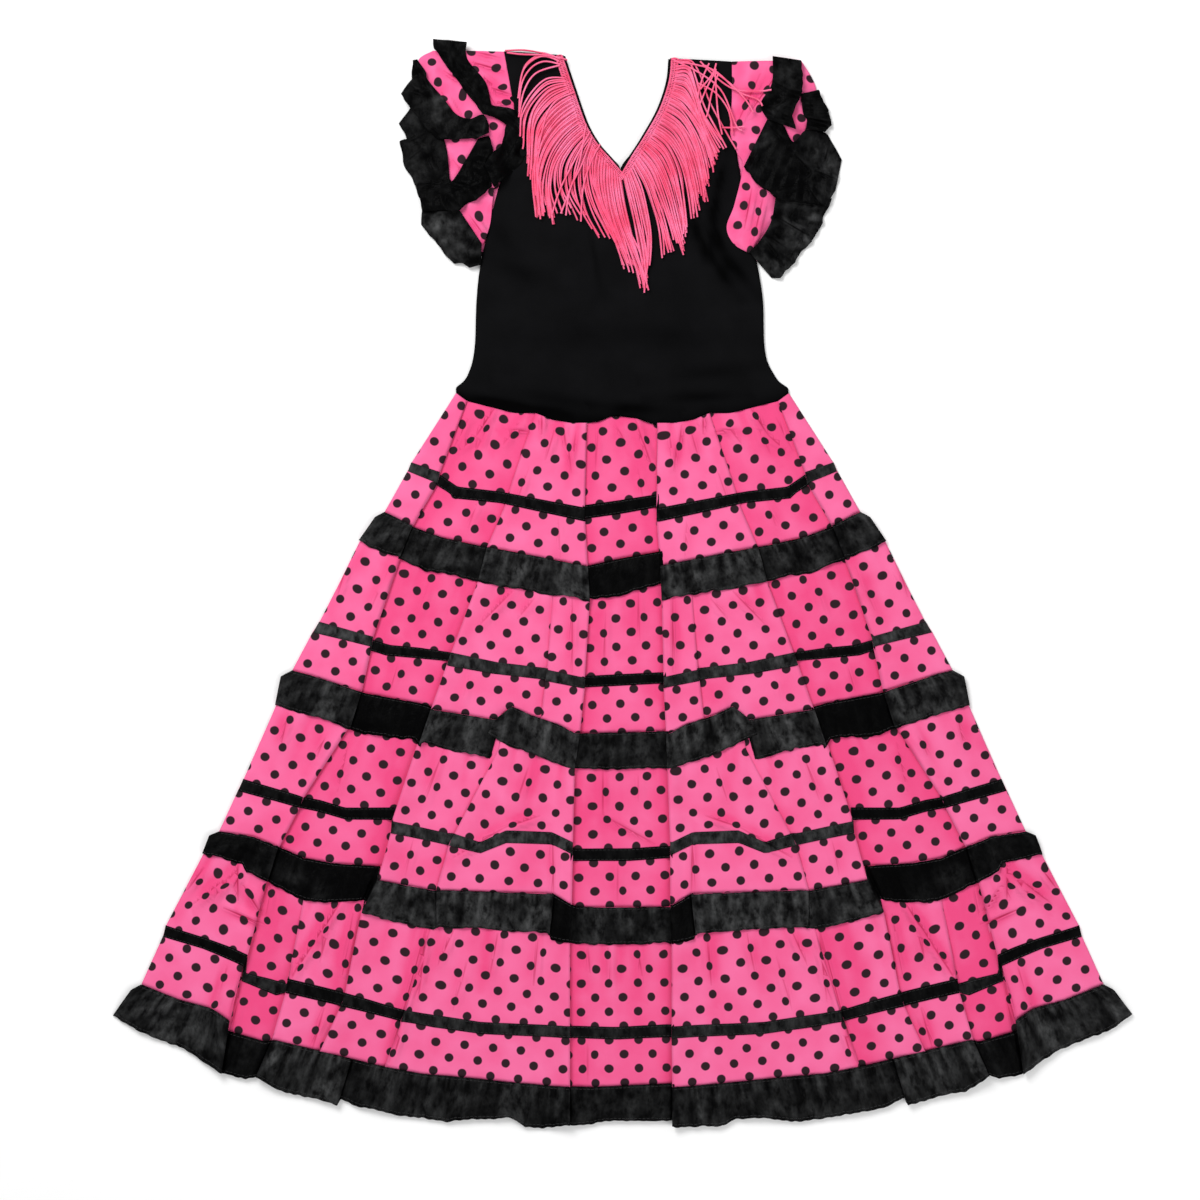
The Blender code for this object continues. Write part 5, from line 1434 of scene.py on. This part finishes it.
for side, turn in (("left", -1), ("right", 1)):
    rng = random.Random(31 if side == "left" else 47)
    line = smooth_line(NECK[side], 400)
    outward = np.stack([line[1:, 1] - line[:-1, 1], -(line[1:, 0] - line[:-1, 0])], axis=-1)
    outward = outward / np.hypot(*outward.T)[:, None] * turn
    paths = []
    for number in range(CORDS):
        share = min(max((number + rng.uniform(-0.4, 0.4)) / (CORDS - 1), 0.0), 1.0)
        if side == "left" and 0.84 < share < 0.93 or share > 0.93 and number % 5 > 2:
            share = 0.10 + 0.70 * rng.random()
        plan = fall_line(side, share)
        along = np.linspace(0, 1, len(plan))[:, None]
        clump = random.Random(int(share * CORDS) // 7 + (100 if side == "left" else 200))
        lean = np.array([clump.uniform(-5.5, 5.5), clump.uniform(-6, 6)])
        own = np.array([rng.uniform(-1.8, 1.8), rng.uniform(-6, 6)])
        sway = rng.uniform(-1.6, 1.6) * np.sin(along * rng.uniform(4, 9) + rng.uniform(0, 6))
        plan = plan + along ** 1.6 * (lean + own) + along * sway * np.array([1.0, 0.2])
        root = line[min(int(share * 399), 399)] + outward[min(int(share * 399), 399)] * CORD_ROOT
        plan = plan + (root - plan[0]) * (1 - along) ** 2
        paths.append(resting_line(plan, 0.7 + 0.95 * (number % 3) + 0.5 * rng.random()))
    for stray in STRAYS if side == "left" else ():
        plan = spline(stray, np.linspace(0, len(stray) - 1, 22))
        paths.append(resting_line(plan, 3.6))
    fringe = cords_from(f"neck_fringe_{side}_cords", paths, CORD_RADIUS)
    braid = []
    for ring in range(HEADER_LOOPS):
        index = min(int(ring / (HEADER_LOOPS - 1) * 399), 399)
        centre = line[index] + outward[index] * (HEADER_INSET + HEADER_WIDTH / 2)
        along = np.array([-outward[index][1], outward[index][0]])
        loop = []
        for step in range(11):
            angle = 2 * math.pi * step / 10
            place = (centre + outward[index] * math.cos(angle) * HEADER_WIDTH / 2
                     + along * math.sin(angle) * 1.5)
            lift = 1.0 + 1.5 * (0.5 + 0.5 * math.sin(angle))
            loop.append((place[0], place[1], lying_height(*place) + lift))
        braid.append(loop)
    for row, turn_by in ((0.6, 0.0), (HEADER_WIDTH * 0.5, 1.5), (HEADER_WIDTH - 0.6, 3.0)):
        edge = []
        for index in range(0, 400, 3):
            phase = index * 0.9 + turn_by
            place = line[index] + outward[index] * (HEADER_INSET + row + 0.5 * math.sin(phase))
            edge.append((place[0], place[1], lying_height(*place) + 2.3 + 0.4 * math.cos(phase)))
        braid.append(edge)
    header = cords_from(f"neck_fringe_{side}_header", braid, HEADER_RADIUS)
    for piece in (fringe, header):
        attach(piece, "root")
        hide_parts(f"neck_fringe_{side}")

# Sewing: black polyester thread, stitched by machine along both edges of each ribbon and in a row
# through each ruffle's head and its hem.
STITCH = 2.6
STITCH_GAP = 1.1
STITCH_RADIUS = 0.16


def stitches_on(grid, share):
    """Return short stitches in mm that follow a grid's surface, one share of the way down it."""
    x, y, z = grid
    row = share * (x.shape[0] - 1)
    low = min(int(row), x.shape[0] - 2)
    line = np.stack([c[low] + (c[low + 1] - c[low]) * (row - low) for c in (x, y, z)], axis=-1)
    lengths = np.concatenate([[0], np.cumsum(np.linalg.norm(np.diff(line, axis=0), axis=1))])
    made = []
    place = 1.0
    while place + STITCH < lengths[-1]:
        steps = place + STITCH * np.array([0.0, 0.5, 1.0])
        points = [[float(np.interp(step, lengths, line[:, k])) for k in range(3)] for step in steps]
        made.append([(p[0], p[1], p[2] + lift) for p, lift in zip(points, (0.02, 0.14, 0.02))])
        place += STITCH + STITCH_GAP
    return made


def black_thread(name):
    """Black polyester sewing thread."""
    n = Nodes(name)
    place = n.add("ShaderNodeTexCoord").outputs["Object"]
    twist = n.noise(place, 1500.0, 2.0)
    colour = n.mix(twist, (0.004, 0.004, 0.005, 1), (0.022, 0.022, 0.024, 1))
    return n.finish(colour, n.band(twist, 0.3, 0.7, 0.4, 0.6), n.bump(twist, 0.4, 0.0001))


thread = black_thread("black thread")
for number in range(1, 5):
    made = stitches_on(ribbon_grids[number], 0.12) + stitches_on(ribbon_grids[number], 0.88)
    sewing = cords_from(f"ribbon_front_{number}_stitches", made, STITCH_RADIUS, thread)
    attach(sewing, "root")
    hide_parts(f"ribbon_front_{number}")
    kind = "hem_ruffle" if number == 4 else "ruffle"
    made = stitches_on(ruffle_grids[number], 0.05) + stitches_on(ruffle_grids[number], 0.93)
    sewing = cords_from(f"{kind}_front_{number}_stitches", made, STITCH_RADIUS, thread)
    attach(sewing, "root")
    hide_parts(f"{kind}_front_{number}")

# Cut of every cloth piece, measured from its mesh as if flat; the values are worked out but nothing uses
# them.
# A piece of the skirt's front is cut wider than it lies, because its pleats take up some of the cloth;
# ruffles and ribbons are long strips.
PLEAT_EXTRA = 0.16


def flat_area(piece):
    """Return the area of the piece's upper side in square metres."""
    return sum(p.area for p in piece.data.polygons)


for key, piece in list(tiers.items()) + list(ribbons.items()) + list(ruffles.items()):
    area = flat_area(piece)
    spread = piece.dimensions.x + PLEAT_EXTRA * piece.dimensions.x * (key > 0)
    held = "gathered" if piece in ruffles.values() else "laid"
for piece in [bodice_front, bodice_back] + list(sleeve_pieces.values()):
    area = flat_area(piece)
    wide, long = piece.dimensions.x, piece.dimensions.y
    if "ruffle" in piece.name:
        wide, long = strip_lengths[piece.name], area / strip_lengths[piece.name]
    long = max(long, area / wide)
    area = round(min(area, wide * long) * 0.98, 5)

# The studio: a white floor under the dress and two soft lights over it.
# The camera looks straight down.
floor_mesh = bpy.data.meshes.new("floor")
floor_mesh.from_pydata([(-6, -6, 0), (6, -6, 0), (6, 6, 0), (-6, 6, 0)], [], [(0, 1, 2, 3)])
floor = bpy.data.objects.new("floor", floor_mesh)
bpy.context.scene.collection.objects.link(floor)
n = Nodes("white floor")
grain = n.noise(n.add("ShaderNodeTexCoord").outputs["Object"], 30.0, 2.0)
white = n.mix(grain, (0.96, 0.96, 0.96, 1), (0.98, 0.98, 0.98, 1))
floor_mesh.materials.append(n.finish(white, 0.9, n.bump(grain, 0.02, 0.001)))
world = bpy.data.worlds.new("studio")
world.use_nodes = True
world.node_tree.nodes["Background"].inputs["Color"].default_value = (1.0, 1.0, 1.0, 1)
world.node_tree.nodes["Background"].inputs["Strength"].default_value = 0.50
bpy.context.scene.world = world
for name, place, size, power in (("overhead softbox", (-0.9, 1.3, 1.7), 1.1, 38.0),
                                 ("fill softbox", (1.4, -1.3, 1.9), 1.8, 22.0)):
    light = bpy.data.lights.new(name, "AREA")
    light.shape = "SQUARE"
    light.size = size
    light.energy = power
    lamp = bpy.data.objects.new(name, light)
    lamp.location = place
    lamp.rotation_euler = (Vector((0, 0, 0)) - Vector(place)).to_track_quat("-Z", "Y").to_euler()
    bpy.context.scene.collection.objects.link(lamp)
lens = bpy.data.cameras.new("camera")
lens.sensor_width = 36.0
lens.lens = 100.0
lens.clip_end = 20.0
camera = bpy.data.objects.new("camera", lens)
camera.location = (-0.02025, -0.01575, 3.0 + 0.005)
bpy.context.scene.collection.objects.link(camera)
bpy.context.scene.camera = camera
bpy.context.scene.view_settings.view_transform = "Standard"
